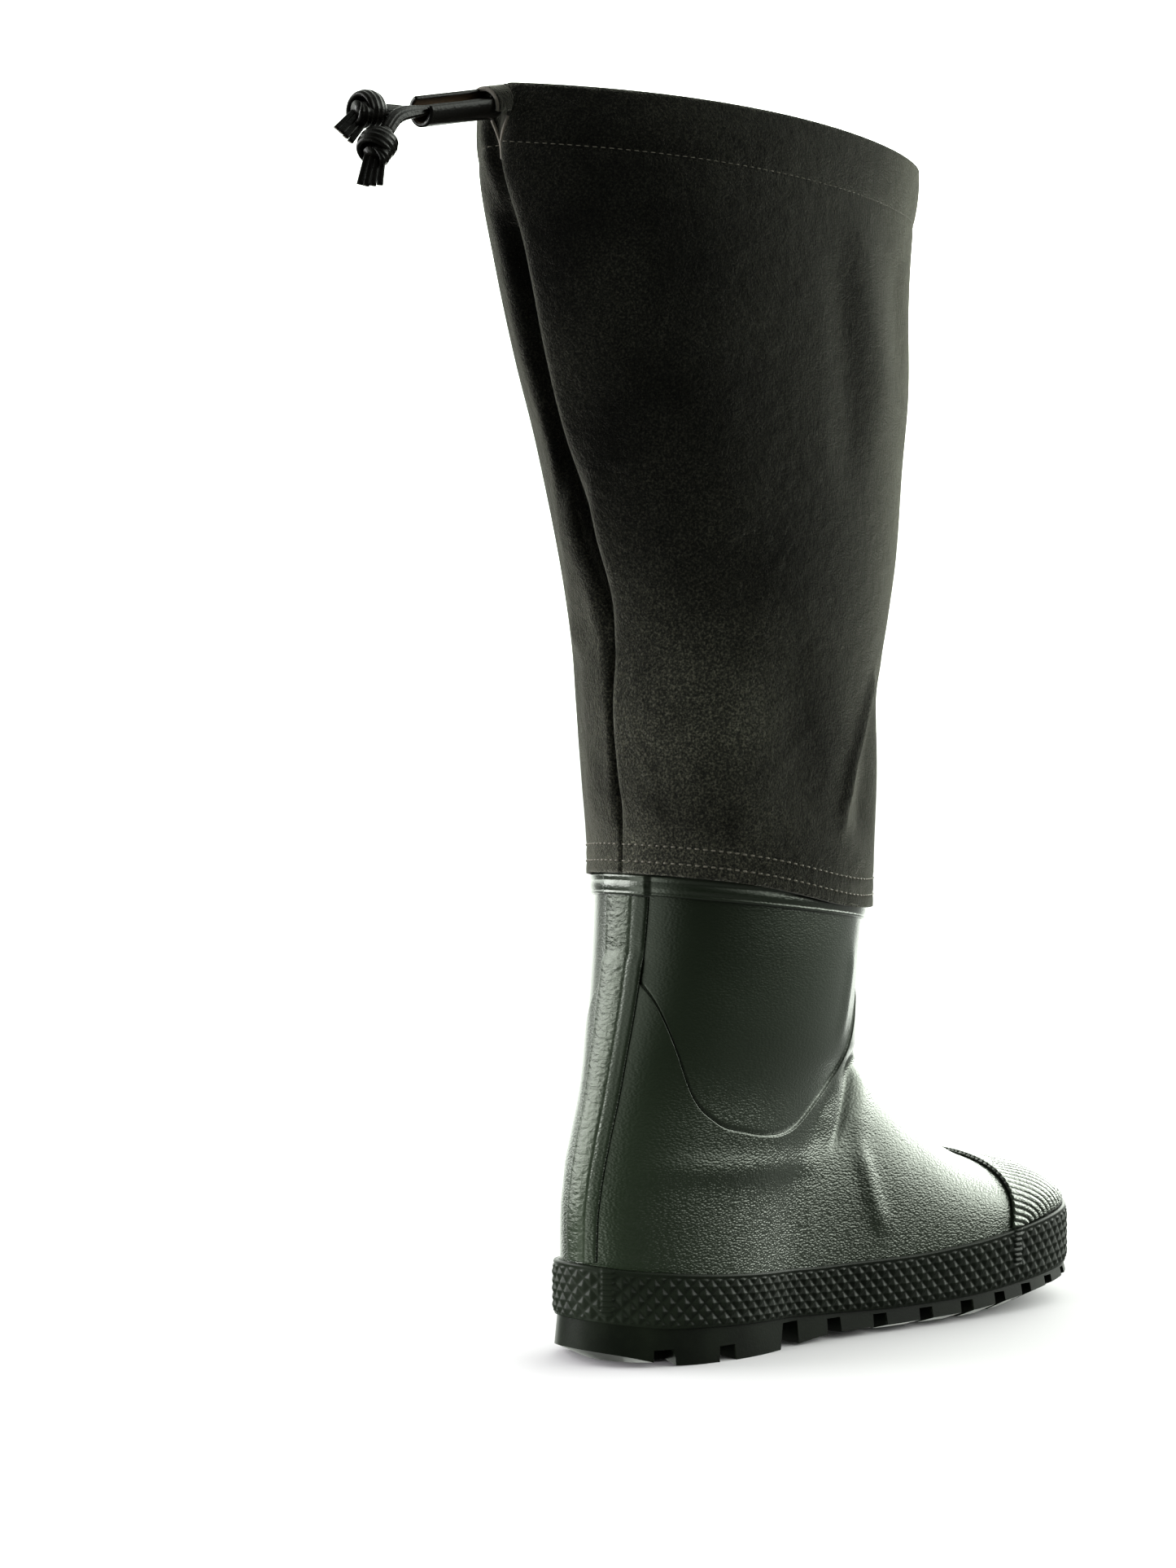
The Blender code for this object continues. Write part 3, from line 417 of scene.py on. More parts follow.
for up, slant in ((-CUTTER_MARGIN, -BREAST_SLANT), (BREAST_HEIGHT, 0.0)):
    corners += [[BREAST_FROM + slant, -CUTTER_HALF, up], [BREAST_FROM + slant, CUTTER_HALF, up]]
    corners += [[BREAST_TO, CUTTER_HALF, up], [BREAST_TO, -CUTTER_HALF, up]]
firsts = range(0, len(corners), BOX_CORNERS)
boxes = [tuple(first + k for k in face) for first in firsts for face in BOX_FACES]
cutter = make_piece("tread_cutter", corners, boxes, [], "black_rubber", smooth=False)
cut = outsole.modifiers.new("grooves", "BOOLEAN")
cut.operation, cut.solver, cut.object = "DIFFERENCE", "EXACT", cutter
rounded = outsole.modifiers.new("lug_edges", "BEVEL")
rounded.width, rounded.segments = LUG_ROUND * MM, LUG_SEGMENTS
rounded.limit_method, rounded.angle_limit = "ANGLE", LUG_ANGLE
mesh = bpy.data.meshes.new_from_object(outsole.evaluated_get(bpy.context.evaluated_depsgraph_get()))
mesh.polygons.foreach_set("use_smooth", [True] * len(mesh.polygons))
mesh.set_sharp_from_angle(angle=SHARP_ANGLE)
outsole.modifiers.clear()
outsole.data = mesh
bpy.data.objects.remove(cutter, do_unlink=True)
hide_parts("outsole")


# Insole: a die-cut felt footbed that lies loose on the plate inside the boot.
# It keeps its solid; felt shows short tangled fibres, drawn coarser than they are, and no gloss.

FELT_GREY, FELT_DARK = "#5d5c58", "#3f3e3b"
FIBRE, FIBRE_DEPTH = 1.4, 0.4
felt, add, place = new_finish("pressed_felt", roughness=0.95, sheen_weight=0.3)
fibres = add("TexNoise", {"Vector": place}, {"Scale": PER_METRE / FIBRE, "Detail": 6.0, "Distortion": 1.5})
add("ValToRGB", {"Fac": fibres}, stops=[(0.0, FELT_DARK), (1.0, FELT_GREY)], into=["Base Color"])
add("Bump", {"Height": fibres}, {"Strength": 0.6, "Distance": FIBRE_DEPTH * MM}, into=["Normal"])
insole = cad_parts["insole"]
insole.data.materials.clear()
insole.data.materials.append(felt)


# Upper: the hollow rubber foot and short leg, laid up from sheets on the last and cured in one piece.
# The vamp sheet laps over the leg sheet and its edge shows as a fine step, U-shaped on each side.

UPPER_WALL, VAMP_STEP = 2.8, 0.9
COLLAR_BACK, COLLAR_FRONT = 218.0, 202.0
ANKLE, ANKLE_REACH = np.array([100.0, 75.0]), 260.0
FEATHER_FADE_LEVEL, FEATHER_FADE_RUN = 0.35, 8.0
UPPER_HALF, UPPER_LEVELS, VAMP_ROWS, LEG_ROWS, LINING_STEP = 190, 121, 96, 46, 4
END_CROWDING, CREASE_TAPER = 0.35, 0.3
VAMP_EDGE = rows_of(
    "along up",
    (24, 166),
    (27, 153),
    (31, 133),
    (36, 113),
    (46, 100),
    (62, 94),
    (80, 91.5),
    (93, 93.5),
    (108, 102),
    (123, 113),
    (133, 127),
    (143, 143),
    (156, 160),
)
vamp_edge_up = curve(VAMP_EDGE, "up")

# Lap of the vamp's edge: run up the leg from the edge, and how far the skin lies below the last
EDGE_PROFILE = rows_of(
    "run sink",
    (-1.4, 0.0),
    (-0.3, 0.0),
    (-0.04, 0.02),
    (0.0, 0.15),
    (0.04, 1.35),
    (0.7, 1.4),
    (1.2, 0.95),
)

# Creases of the rubber: side of the foot, half width, rise of the ridge or depth of the trough, route
CREASE_COLUMNS = "side width rise route"
RUBBER_CREASES = rows_of(
    CREASE_COLUMNS,
    (-1, 2.8, -1.4, [(145, 126), (139, 113), (132, 101), (126, 90), (119, 78)]),
    (-1, 5.0, 0.9, [(135, 124), (128, 110), (121, 98), (113, 86)]),
    (-1, 5.5, 1.1, [(153, 120), (147, 107), (140, 95), (134, 82)]),
    (-1, 4.6, 1.3, [(137, 92), (138, 76), (141, 62), (145, 50), (150, 40)]),
    (-1, 6.0, 1.0, [(6, 80), (30, 81), (60, 79.5), (95, 78), (126, 77)]),
    (-1, 5.0, 0.8, [(124, 176), (126, 160), (124, 142), (118, 124)]),
    (1, 5.0, -1.2, [(144, 122), (136, 108), (127, 92)]),
    (1, 6.0, 1.2, [(6, 82), (40, 81), (70, 80), (104, 78)]),
)


def crease_rise(points, creases):
    """Height of listed creases at points of a surface, each one tapered at both ends."""
    along, across, up = np.moveaxis(points, -1, 0)
    rise = np.zeros(along.shape)
    for crease in creases:
        route = np.array(crease.route, float)
        best = np.full(along.shape, np.inf)
        share = np.zeros(along.shape)
        for k, (start, end) in enumerate(zip(route[:-1], route[1:])):
            step = end - start
            t = ((along - start[0]) * step[0] + (up - start[1]) * step[1]) / (step @ step)
            t = np.clip(t, 0.0, 1.0)
            gap = np.hypot(along - start[0] - t * step[0], up - start[1] - t * step[1])
            nearer = gap < best
            best = np.where(nearer, gap, best)
            share = np.where(nearer, (k + t) / (len(route) - 1), share)
        taper = fade(share, 0.0, CREASE_TAPER) * (1 - fade(share, 1 - CREASE_TAPER, 1.0))
        rise += crease.rise * hump(best, 0.0, crease.width) * taper * (across * crease.side > 0)
    return rise


def ankle_angle(along, up):
    return np.arctan2(up - ANKLE[1], along - ANKLE[0])


def ankle_rays(first, last):
    """Outline of the middle plane, swept from one direction at the ankle to another."""
    angles = np.linspace(first, last, FINE)
    heading = np.stack([np.cos(angles), np.sin(angles)])

    def inside(reach):
        return last_square(*(ANKLE[:, None] + reach * heading)) > 0

    reach = crossing(inside, np.zeros(FINE), np.full(FINE, ANKLE_REACH))
    along, up = ANKLE[:, None] + reach * heading
    return np.stack([along, np.zeros(FINE), up], axis=1)


FRONT_LINE = ankle_rays(
    ankle_angle(UPPER_TIP, feather_up(UPPER_TIP)), ankle_angle(leg_front(COLLAR_FRONT), COLLAR_FRONT)
)
BACK_LINE = ankle_rays(
    ankle_angle(leg_back(0.0), feather_up(0.0)) + 2 * np.pi, ankle_angle(leg_back(COLLAR_BACK), COLLAR_BACK)
)


def level_ring(level, shares):
    """Section of the upper at a level from the feather line (0) to the collar (1)."""
    back, front = [spread(line, np.array([level]))[0][[0, 2]] for line in (BACK_LINE, FRONT_LINE)]
    low_back, low_front = BACK_LINE[0][[0, 2]], FRONT_LINE[0][[0, 2]]

    def height(along):
        straight = np.interp(along, [back[0], front[0]], [back[1], front[1]])
        low = np.interp(along, [low_back[0], low_front[0]], [low_back[1], low_front[1]])
        follow = 1 - fade(level, 0.0, FEATHER_FADE_LEVEL)
        follow = follow * fade(along, low_back[0], low_back[0] + FEATHER_FADE_RUN)
        follow = follow * (1 - fade(along, low_front[0] - FEATHER_FADE_RUN, low_front[0]))
        return straight + follow * (feather_up(along) - low)

    return ring_between(back[0], front[0], height, shares)


def upper_levels(shares):
    """Rings of the last from the feather line to the collar, evenly spaced in level."""
    return np.stack([level_ring(level, shares) for level in even(UPPER_LEVELS - 1)])


def on_columns(levels, wanted):
    """Points of each column at its wanted level."""
    place = np.clip(wanted, 0.0, 1.0) * (UPPER_LEVELS - 1)
    low = np.minimum(place.astype(int), UPPER_LEVELS - 2)
    share = (place - low)[:, None]
    column = np.arange(levels.shape[1])
    return levels[low, column] * (1 - share) + levels[low + 1, column] * share


def ring_normals(grid):
    """Outward unit normals of rows of rings."""
    across = np.roll(grid, -1, axis=1) - np.roll(grid, 1, axis=1)
    normal = unit(np.cross(across, np.gradient(grid, axis=0)))
    return normal * np.sign((normal * (grid - grid.mean(axis=1, keepdims=True))).sum())


def shell_faces(rows, columns):
    """Quads of a wall whose rows run up the outside and back down the inside, open at both ends."""
    last = (rows - 1) * columns
    closing = [(last + c, last + (c + 1) % columns, (c + 1) % columns, c) for c in range(columns)]
    return grid_faces(rows, columns, closed=True) + closing


# Green boot rubber is calendered with a fine pebbled skin and dipped in a clear lacquer, so it has a
# satin gloss that breaks up into small glints and a slow change of tone where it was dusted.
# The leg is pressed smoother than the foot. The pebbles are drawn coarser than they are, to show.
BOOT_GREEN, BOOT_GREEN_PALE, LACQUER_TINT = "#171e14", "#1f271c", "#f0fae8"
PEBBLE_LONG, PEBBLE_TALL, PEBBLE_DEPTH, TONE_PATCH = 1.35, 0.75, -0.24, 45.0

# A ramp over one of the boot's axes: where it starts and ends, in metres, and its values there
Ramp = namedtuple("Ramp", "axis start end first last")
LEG_PRESSED = Ramp("Z", 0.07, 0.13, 1.0, 0.35)


def ramp_ends(ramp):
    return {"From Min": ramp.start, "From Max": ramp.end, "To Min": ramp.first, "To Max": ramp.last}


boot_rubber, add, place = new_finish(
    "lacquered_green_rubber",
    ior=1.52,
    specular_tint=linear(LACQUER_TINT),
    coat_weight=0.8,
    coat_roughness=0.24,
    coat_ior=1.5,
)
slow = add("TexNoise", {"Vector": place}, {"Scale": PER_METRE / TONE_PATCH, "Detail": 3.0})
add("ValToRGB", {"Fac": slow}, stops=[(0.0, BOOT_GREEN), (1.0, BOOT_GREEN_PALE)], into=["Base Color"])
add("MapRange", {"Value": slow}, {"To Min": 0.26, "To Max": 0.36}, into=["Roughness"])
pebble_scale = [PER_METRE / size for size in (PEBBLE_LONG, PEBBLE_LONG, PEBBLE_TALL)]
stretched = add("Mapping", {"Vector": place}, {"Scale": pebble_scale})
pebbles = add("TexVoronoi", {"Vector": stretched}, {"Scale": 1.0, "Smoothness": 0.6}, feature="SMOOTH_F1")
axes = add("SeparateXYZ", {"Vector": place})
pressed = add("MapRange", {"Value": axes.outputs[LEG_PRESSED.axis]}, ramp_ends(LEG_PRESSED))
add(
    "Bump",
    {"Height": pebbles, "Strength": pressed},
    {"Distance": PEBBLE_DEPTH * MM},
    into=["Normal", "Coat Normal"],
)

# Cotton lining is knitted and bonded inside the rubber: dark, matt, with small even loops.
LINING_DARK, LINING_PALE = "#22211f", "#3a3835"
LOOP, LOOP_DEPTH = 1.5, 0.4
lining, add, place = new_finish("knitted_cotton_lining", roughness=0.9, sheen_weight=0.2)
loops = add("TexVoronoi", {"Vector": place}, {"Scale": PER_METRE / LOOP})
add("ValToRGB", {"Fac": loops}, stops=[(0.0, LINING_PALE), (1.0, LINING_DARK)], into=["Base Color"])
add("Bump", {"Height": loops}, {"Strength": -0.5, "Distance": LOOP_DEPTH * MM}, into=["Normal"])

share = even(UPPER_HALF)
crowded = (1 - END_CROWDING) * share + END_CROWDING * (1 - np.cos(np.pi * share)) / 2
levels = upper_levels(crowded)
above = levels[:, :, 2] - vamp_edge_up(levels[:, :, 0])
below = np.array([np.nonzero(column < 0)[0][-1] for column in above.T])
column = np.arange(levels.shape[1])
edge_share = above[below, column] / (above[below, column] - above[below + 1, column])
step_level = (below + edge_share) / (UPPER_LEVELS - 1)
girth_step = np.linalg.norm(levels[below + 1, column] - levels[below, column], axis=1) * (UPPER_LEVELS - 1)
edge_levels = [step_level + row.run / girth_step for row in EDGE_PROFILE]
wanted = [edge_levels[0] * share for share in even(VAMP_ROWS)[:-1]] + edge_levels
wanted += [edge_levels[-1] + (1 - edge_levels[-1]) * share for share in even(LEG_ROWS)[1:]]
grid = np.stack([on_columns(levels, level) for level in wanted])
normals = ring_normals(grid)
sink = [EDGE_PROFILE[0].sink] * VAMP_ROWS + [row.sink for row in EDGE_PROFILE] + [VAMP_STEP] * LEG_ROWS
lift = crease_rise(grid, RUBBER_CREASES) - np.array(sink)[:, None]
outer = grid + normals * lift[:, :, None]
inner = (grid - normals * UPPER_WALL)[::LINING_STEP]
wall = np.concatenate([outer, inner[::-1]])
faces = shell_faces(*wall.shape[:2])
inside_from = (len(outer) - 1) * wall.shape[1]
inside = [int(face[0] >= inside_from) for face in faces]
upper = make_piece("rubber_upper", wall, faces, [boot_rubber, lining], "green_rubber", inside)
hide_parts("upper")


# Foxing: a calendered strip of black rubber wound round the seam of foot and sole.
# It is embossed with rows of small pyramids and its ends are rolled down with a toothed wheel.

FOXING_GAP, FOXING_BASE, FOXING_ROWS, FOXING_INNER = 0.45, 1.9, 52, (1.0, 0.75, 0.5, 0.0)
DIAMONDS_ROUND, DIAMONDS_HIGH, DIAMOND_STEPS, DIAMOND_RISE = 108, 3.25, 12, 1.1
DIAMOND_VALLEY, DIAMOND_TIP = 0.06, 0.92
LIP_SHARE, LIP_RISE, LIP_FOOT, LIP_SLOPE, LIP_ROUND = 0.07, 0.45, 0.02, 1.7, 2.4
LADDER_HALF, LADDER_SOFT, LADDER_BASE, LADDER_RISE, LADDER_PITCH = 2.4, 0.2, 0.5, 0.9, 2.3
LADDER_END, SIDE_PULL = 0.05, 9.0
LADDERS = rows_of("side along low", (-1, 6.5, 0.12), (-1, 226.0, 0.3), (1, 226.0, 0.3))


def foxing_ring(share, shares):
    """Section of the last at a share of the foxing's height, upright below the feather line."""

    def height(along):
        return foxing_low(along) + (foxing_top(along) - foxing_low(along)) * share

    def wall_line(along):
        return np.maximum(height(along), feather_up(along))

    return at_height(sole_ring(wall_line, shares), height)


# Embossed foxing rubber is harder than the sole's: near black with a green cast and a low gloss that
# draws a light line along each pyramid.
FOXING_BLACK, FOXING_DUST = "#0d110c", "#191e16"
foxing_rubber, add, place = new_finish("embossed_foxing_rubber", ior=1.5, specular_ior_level=0.14)
dust = add("TexNoise", {"Vector": place}, {"Scale": PER_METRE / DUST_PATCH, "Detail": 5.0})
add("ValToRGB", {"Fac": dust}, stops=[(0.0, FOXING_BLACK), (1.0, FOXING_DUST)], into=["Base Color"])
add("MapRange", {"Value": dust}, {"To Min": 0.34, "To Max": 0.46}, into=["Roughness"])

around = even(DIAMONDS_ROUND * DIAMOND_STEPS // 2)
lateral = np.concatenate([around, 2 - around[-2:0:-1]]) * DIAMONDS_ROUND / 2
rows = []
for share in even(FOXING_ROWS):
    ring = foxing_ring(share, around)
    turns = [lateral + slant * DIAMONDS_HIGH * share for slant in (1, -1)]
    pyramid = np.minimum(*[1 - np.abs(2 * (turn - np.floor(turn)) - 1) for turn in turns])
    pyramid = np.clip(pyramid * (1 + 2 * DIAMOND_VALLEY) - DIAMOND_VALLEY, 0.0, DIAMOND_TIP)
    border = fade(share, LIP_FOOT, LIP_SHARE) * (1 - fade(share, 1 - LIP_SLOPE * LIP_SHARE, 1 - LIP_SHARE))
    lip = hump(share, 1 - LIP_SHARE / 2, LIP_SHARE / LIP_ROUND)
    rise = FOXING_BASE + DIAMOND_RISE * pyramid * border + LIP_RISE * lip
    for ladder in LADDERS:
        side = np.where(ring[:, 1] * ladder.side > 0, 1.0, 0.0)
        middle = ring[np.argmin(abs(ring[:, 0] - ladder.along) - SIDE_PULL * side)]
        away = np.linalg.norm((ring - middle)[:, :2], axis=1)
        window = 1 - fade(away, LADDER_HALF * (1 - LADDER_SOFT), LADDER_HALF * (1 + LADDER_SOFT))
        window = window * side * fade(share, ladder.low, ladder.low + LADDER_END)
        tooth = 0.5 + 0.5 * np.sin(2 * np.pi * (ring[:, 2] / LADDER_PITCH))
        rise = rise * (1 - window) + window * (FOXING_BASE + LADDER_BASE + LADDER_RISE * tooth)
    rows.append(plan_offset(ring, FOXING_GAP + rise))
wall = np.stack(rows + [plan_offset(foxing_ring(share, around), FOXING_GAP) for share in FOXING_INNER])
foxing = make_piece("foxing_band", wall, shell_faces(*wall.shape[:2]), [foxing_rubber], "black_rubber")
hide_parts("foxing")


# Toe cap: a stiff sheet of the same green rubber, ribbed from front to back, stuck over the toe.
# Its ribs end in a notched edge across the vamp and run down to the foxing at the tip.

CAP_GAP, CAP_THICK, CAP_ROWS, NORMAL_STEP = 0.3, 0.9, 48, 0.05
CAP_LINE_TOP, CAP_LINE_SIDE, CAP_AXIS_UP, CAP_CORNER, CAP_REACH = 234.0, 224.5, 26.0, 3.0, 90.0
CAP_RIBS, RIB_STEPS, RIB_RISE, RIB_ROUND, RIB_RUN_OUT = 50, 10, 0.85, 0.5, 0.93


def cap_points(along, angle):
    """Points of the last in directions round the toe's long axis, 0 is the outer side."""
    side = np.where(np.cos(angle) > 0, -1, 1)

    def inside(reach):
        return half_width(along, CAP_AXIS_UP + reach * np.sin(angle), side) > reach * abs(np.cos(angle))

    reach = crossing(inside, np.zeros(along.shape), np.full(along.shape, CAP_REACH))
    return np.stack([along, -reach * np.cos(angle), CAP_AXIS_UP + reach * np.sin(angle)], axis=-1)


def last_normals(points):
    """Outward unit normals of the last at points on its surface."""

    def depth(spots):
        along, across, up = np.moveaxis(spots, -1, 0)
        return lean(along, up, np.sign(across)) ** 2 * last_square(along, up) - across**2

    steps = np.eye(3) * NORMAL_STEP
    return unit(np.stack([depth(points - step) - depth(points + step) for step in steps], axis=-1))


def sheet_faces(rows, columns):
    """Quads of an outer and an inner grid of points, closed along their four edges."""
    count = rows * columns
    faces = grid_faces(rows, columns) + [face[::-1] for face in grid_faces(rows, columns, start=count)]
    top = (rows - 1) * columns
    border = list(range(columns - 1)) + [r * columns + columns - 1 for r in range(rows - 1)]
    border += [top + c for c in range(columns - 1, 0, -1)] + [r * columns for r in range(rows - 1, 0, -1)]
    for here, there in zip(border, border[1:] + border[:1]):
        faces.append((here, there, there + count, here + count))
    return faces


turns = even(CAP_RIBS * RIB_STEPS)
ring = sole_ring(lambda along: foxing_top(along) + GAP, even(FINE))
front = spread(ring[ring[:, 0] > CAP_LINE_SIDE + CAP_CORNER], turns)
front_angle = np.arctan2(front[:, 2] - CAP_AXIS_UP, -front[:, 1])
back = CAP_LINE_SIDE + (CAP_LINE_TOP - CAP_LINE_SIDE) * np.sin(np.pi * turns)
low = foxing_top(CAP_LINE_SIDE) + GAP
low_halves = [half_width(np.array(CAP_LINE_SIDE), low, side) for side in (-1, 1)]
low_angles = [np.arctan2(low - CAP_AXIS_UP, half) for half in low_halves]
back_angle = low_angles[0] + (np.pi - sum(low_angles)) * turns
rows = []
for share in even(CAP_ROWS):
    along = back + (front[:, 0] - back) * share * (2 - share)
    rows.append(cap_points(along, back_angle + (front_angle - back_angle) * share))
rows[-1] = front
grid = np.stack(rows)
normals = last_normals(grid)
rib = np.abs(np.sin(np.pi * turns * CAP_RIBS)) ** RIB_ROUND
rib = rib[None, :] * (1 - fade(even(CAP_ROWS)[:, None], RIB_RUN_OUT, 1.0))
outer = grid + normals * (CAP_GAP + CAP_THICK + RIB_RISE * rib)[:, :, None]
faces = sheet_faces(*grid.shape[:2])
cap_sheet = [outer, grid + normals * CAP_GAP]
toe_cap = make_piece("ribbed_toe_cap", cap_sheet, faces, [boot_rubber], "green_rubber")
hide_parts("toe_cap")


# Back strip: a strip of green rubber rolled down over the heel seam, from the foxing to the top band.
# It is thicker in the middle, crinkled by the roller, and steps where the vamp layer ends under it.

STRIP_THICK, STRIP_LEAST, STRIP_HALF_TOP, STRIP_HALF_LOW = 2.0, 0.3, 12.5, 8.0
STRIP_BUMP_FROM, STRIP_BUMP_TO = 165.0, 171.0
PINCH_DEEP, PINCH_HALF, PINCH_MIDDLE = 0.5, 4.0, 0.4
STRIP_ROWS, STRIP_COLUMNS, STRIP_FINE, FLANK_FROM = 420, 60, 96, 0.4
LAP, BAND_HEIGHT = 14.0, 9.0
STRIP_PROFILE = rows_of(
    "place thick",
    (-1.0, 0.2),
    (-0.92, 0.6),
    (-0.75, 0.84),
    (-0.45, 0.97),
    (-0.1, 1.0),
    (0.2, 0.97),
    (0.34, 0.92),
    (0.42, 0.8),
    (0.5, 0.8),
    (0.75, 0.64),
    (0.93, 0.46),
    (1.0, 0.2),
)
strip_thick = curve(STRIP_PROFILE, "thick")
WAVE_RISE, WAVE_ROW, WAVE_COLUMN, WAVE_SWAY = 0.06, 1.15, 2.1, 0.35
ROLLED_IN, ROLLED_OUT = (-0.97, -0.8), (0.25, FLANK_FROM)
WAVE_SEED, WAVE_GRID = 5, (220, 24)
STRIP_WAVES = np.random.default_rng(WAVE_SEED).normal(size=WAVE_GRID)


def crinkle(across, up):
    """Smooth random waves of the strip's face, flatter than they are long."""
    row = up / WAVE_ROW
    place = across / WAVE_COLUMN + WAVE_GRID[1] / 2 + WAVE_SWAY * np.sin(row)
    r, c = int(row), place.astype(int)
    down, side = fade(row - r, 0.0, 1.0), fade(place - c, 0.0, 1.0)
    low, high = [STRIP_WAVES[k, c] * (1 - side) + STRIP_WAVES[k, c + 1] * side for k in (r, r + 1)]
    return low * (1 - down) + high * down


levels = upper_levels(even(STRIP_FINE))
half_round = levels.shape[1] // 2
normals = ring_normals(levels)
floor_up = float(foxing_top(0.0)) + GAP
roof_up = COLLAR_BACK - LAP - BAND_HEIGHT - 2 * GAP
across = np.linspace(-1.0, 1.0, STRIP_COLUMNS + 1)
rolled = fade(across, *ROLLED_IN) * (1 - fade(across, *ROLLED_OUT))
outer, inner = [], []
for share in even(STRIP_ROWS):
    up = floor_up + (roof_up - floor_up) * share
    level = np.interp(up, levels[:, 0, 2], np.arange(UPPER_LEVELS))
    low = min(int(level), UPPER_LEVELS - 2)
    rest = level - low
    ring, facing = [rows[low] * (1 - rest) + rows[low + 1] * rest for rows in (levels, normals)]
    ring, facing = np.roll(ring, -half_round, axis=0), np.roll(facing, -half_round, axis=0)
    run = run_along(ring)
    run = run - run[len(ring) - half_round]
    reach = across * (STRIP_HALF_LOW + (STRIP_HALF_TOP - STRIP_HALF_LOW) * share)
    spots, faced = at_run(reach, run, ring), at_run(reach, run, facing)
    seat = GAP - VAMP_STEP * fade(up, STRIP_BUMP_FROM, STRIP_BUMP_TO)
    pinch = PINCH_DEEP * hump(up, STRIP_BUMP_TO, PINCH_HALF)
    pinch = pinch * (PINCH_MIDDLE + (1 - PINCH_MIDDLE) * np.abs(across))
    thick = STRIP_THICK * strip_thick(across) + WAVE_RISE * crinkle(reach, up) * rolled - pinch
    outer.append(spots + faced * (seat + np.maximum(thick, STRIP_LEAST))[:, None])
    inner.append(spots + faced * seat)

# Rolled rubber is the boot's own green, but its lacquer has crazed into small waves across the strip.
WAVE_LONG, WAVE_TALL, WAVE_DEPTH = 3.6, 1.7, 0.5
rolled_rubber, add, place = new_finish(
    "rolled_green_rubber", ior=1.52, roughness=0.3, specular_tint=linear(LACQUER_TINT)
)
slow = add("TexNoise", {"Vector": place}, {"Scale": PER_METRE / TONE_PATCH, "Detail": 3.0})
add("ValToRGB", {"Fac": slow}, stops=[(0.0, BOOT_GREEN), (1.0, BOOT_GREEN_PALE)], into=["Base Color"])
wave_scale = [PER_METRE / size for size in (WAVE_LONG, WAVE_LONG, WAVE_TALL)]
stretched = add("Mapping", {"Vector": place}, {"Scale": wave_scale})
waves = add("TexNoise", {"Vector": stretched}, {"Scale": 1.0, "Detail": 2.5, "Distortion": 1.2})
add("Bump", {"Height": waves}, {"Strength": 0.6, "Distance": WAVE_DEPTH * MM}, into=["Normal"])
faces = sheet_faces(STRIP_ROWS + 1, STRIP_COLUMNS + 1)
flank = (STRIP_COLUMNS + 1) * (1 + FLANK_FROM) / 2
on_flank = [int(face[0] % (STRIP_COLUMNS + 1) > flank) for face in faces]
strip_finishes = [rolled_rubber, boot_rubber]
back_strip = make_piece("heel_strip", [outer, inner], faces, strip_finishes, "green_rubber", on_flank)
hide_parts("back_strip")


# Top band: an extruded rubber tape with two ribs, cured round the top of the foot below the suede.
# It crosses over the heel strip, which makes it stand out there.

BAND_THICK, BAND_ROWS, BAND_HALF, BAND_CROWDING, BAND_OVER_STRIP = 1.5, 24, 150, 1.3, 1.5
BAND_LEAST, BAND_RIB_ROUND, BAND_RIB_TURN, BAND_EDGE, BAND_EDGE_SLOPE = 0.62, 0.7, 0.4, 0.45, 6.0
OVER_FADE, LEG_SEARCH = (11.5, 13.5), 220.0


def leg_ring(drop, shares):
    """Section of the leg a fixed drop below the collar."""
    collar_back, collar_front = leg_back(COLLAR_BACK), leg_front(COLLAR_FRONT)

    def height(along):
        share = (along - collar_back) / (collar_front - collar_back)
        return COLLAR_BACK + (COLLAR_FRONT - COLLAR_BACK) * share - drop

    def inside(along):
        return leg_square(along, height(along)) > 0

    back = crossing(inside, [ANKLE[0]], [-SEARCH_MARGIN])[0]
    front = crossing(inside, [ANKLE[0]], [LEG_SEARCH])[0]
    return ring_between(back, front, height, shares)


outer, inner = [], []
for share in even(BAND_ROWS):
    ring = leg_ring(LAP + GAP + BAND_HEIGHT * (1 - share), even(BAND_HALF) ** BAND_CROWDING)
    ribs = np.abs(np.cos(2 * np.pi * share + BAND_RIB_TURN)) ** BAND_RIB_ROUND
    ribs = BAND_LEAST + (1 - BAND_LEAST) * ribs
    ribs = ribs * min(1.0, BAND_EDGE + BAND_EDGE_SLOPE * min(share, 1 - share))
    over = BAND_OVER_STRIP * (1 - fade(np.abs(ring[:, 1]), *OVER_FADE)) * (ring[:, 0] < ANKLE[0])
    outer.append(plan_offset(ring, GAP - VAMP_STEP + BAND_THICK * ribs + over))
    inner.append(plan_offset(ring, GAP - VAMP_STEP))
wall = np.stack(outer + [inner[-1], inner[0]])
top_band = make_piece("ribbed_top_band", wall, shell_faces(*wall.shape[:2]), [boot_rubber], "green_rubber")
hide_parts("top_band")


# Shaft: a leg of split suede, closed by one seam down the back that sinks into a pleat.
# Its hem is sewn over the rubber with two rows of stitches, its rim is folded into a drawstring casing.

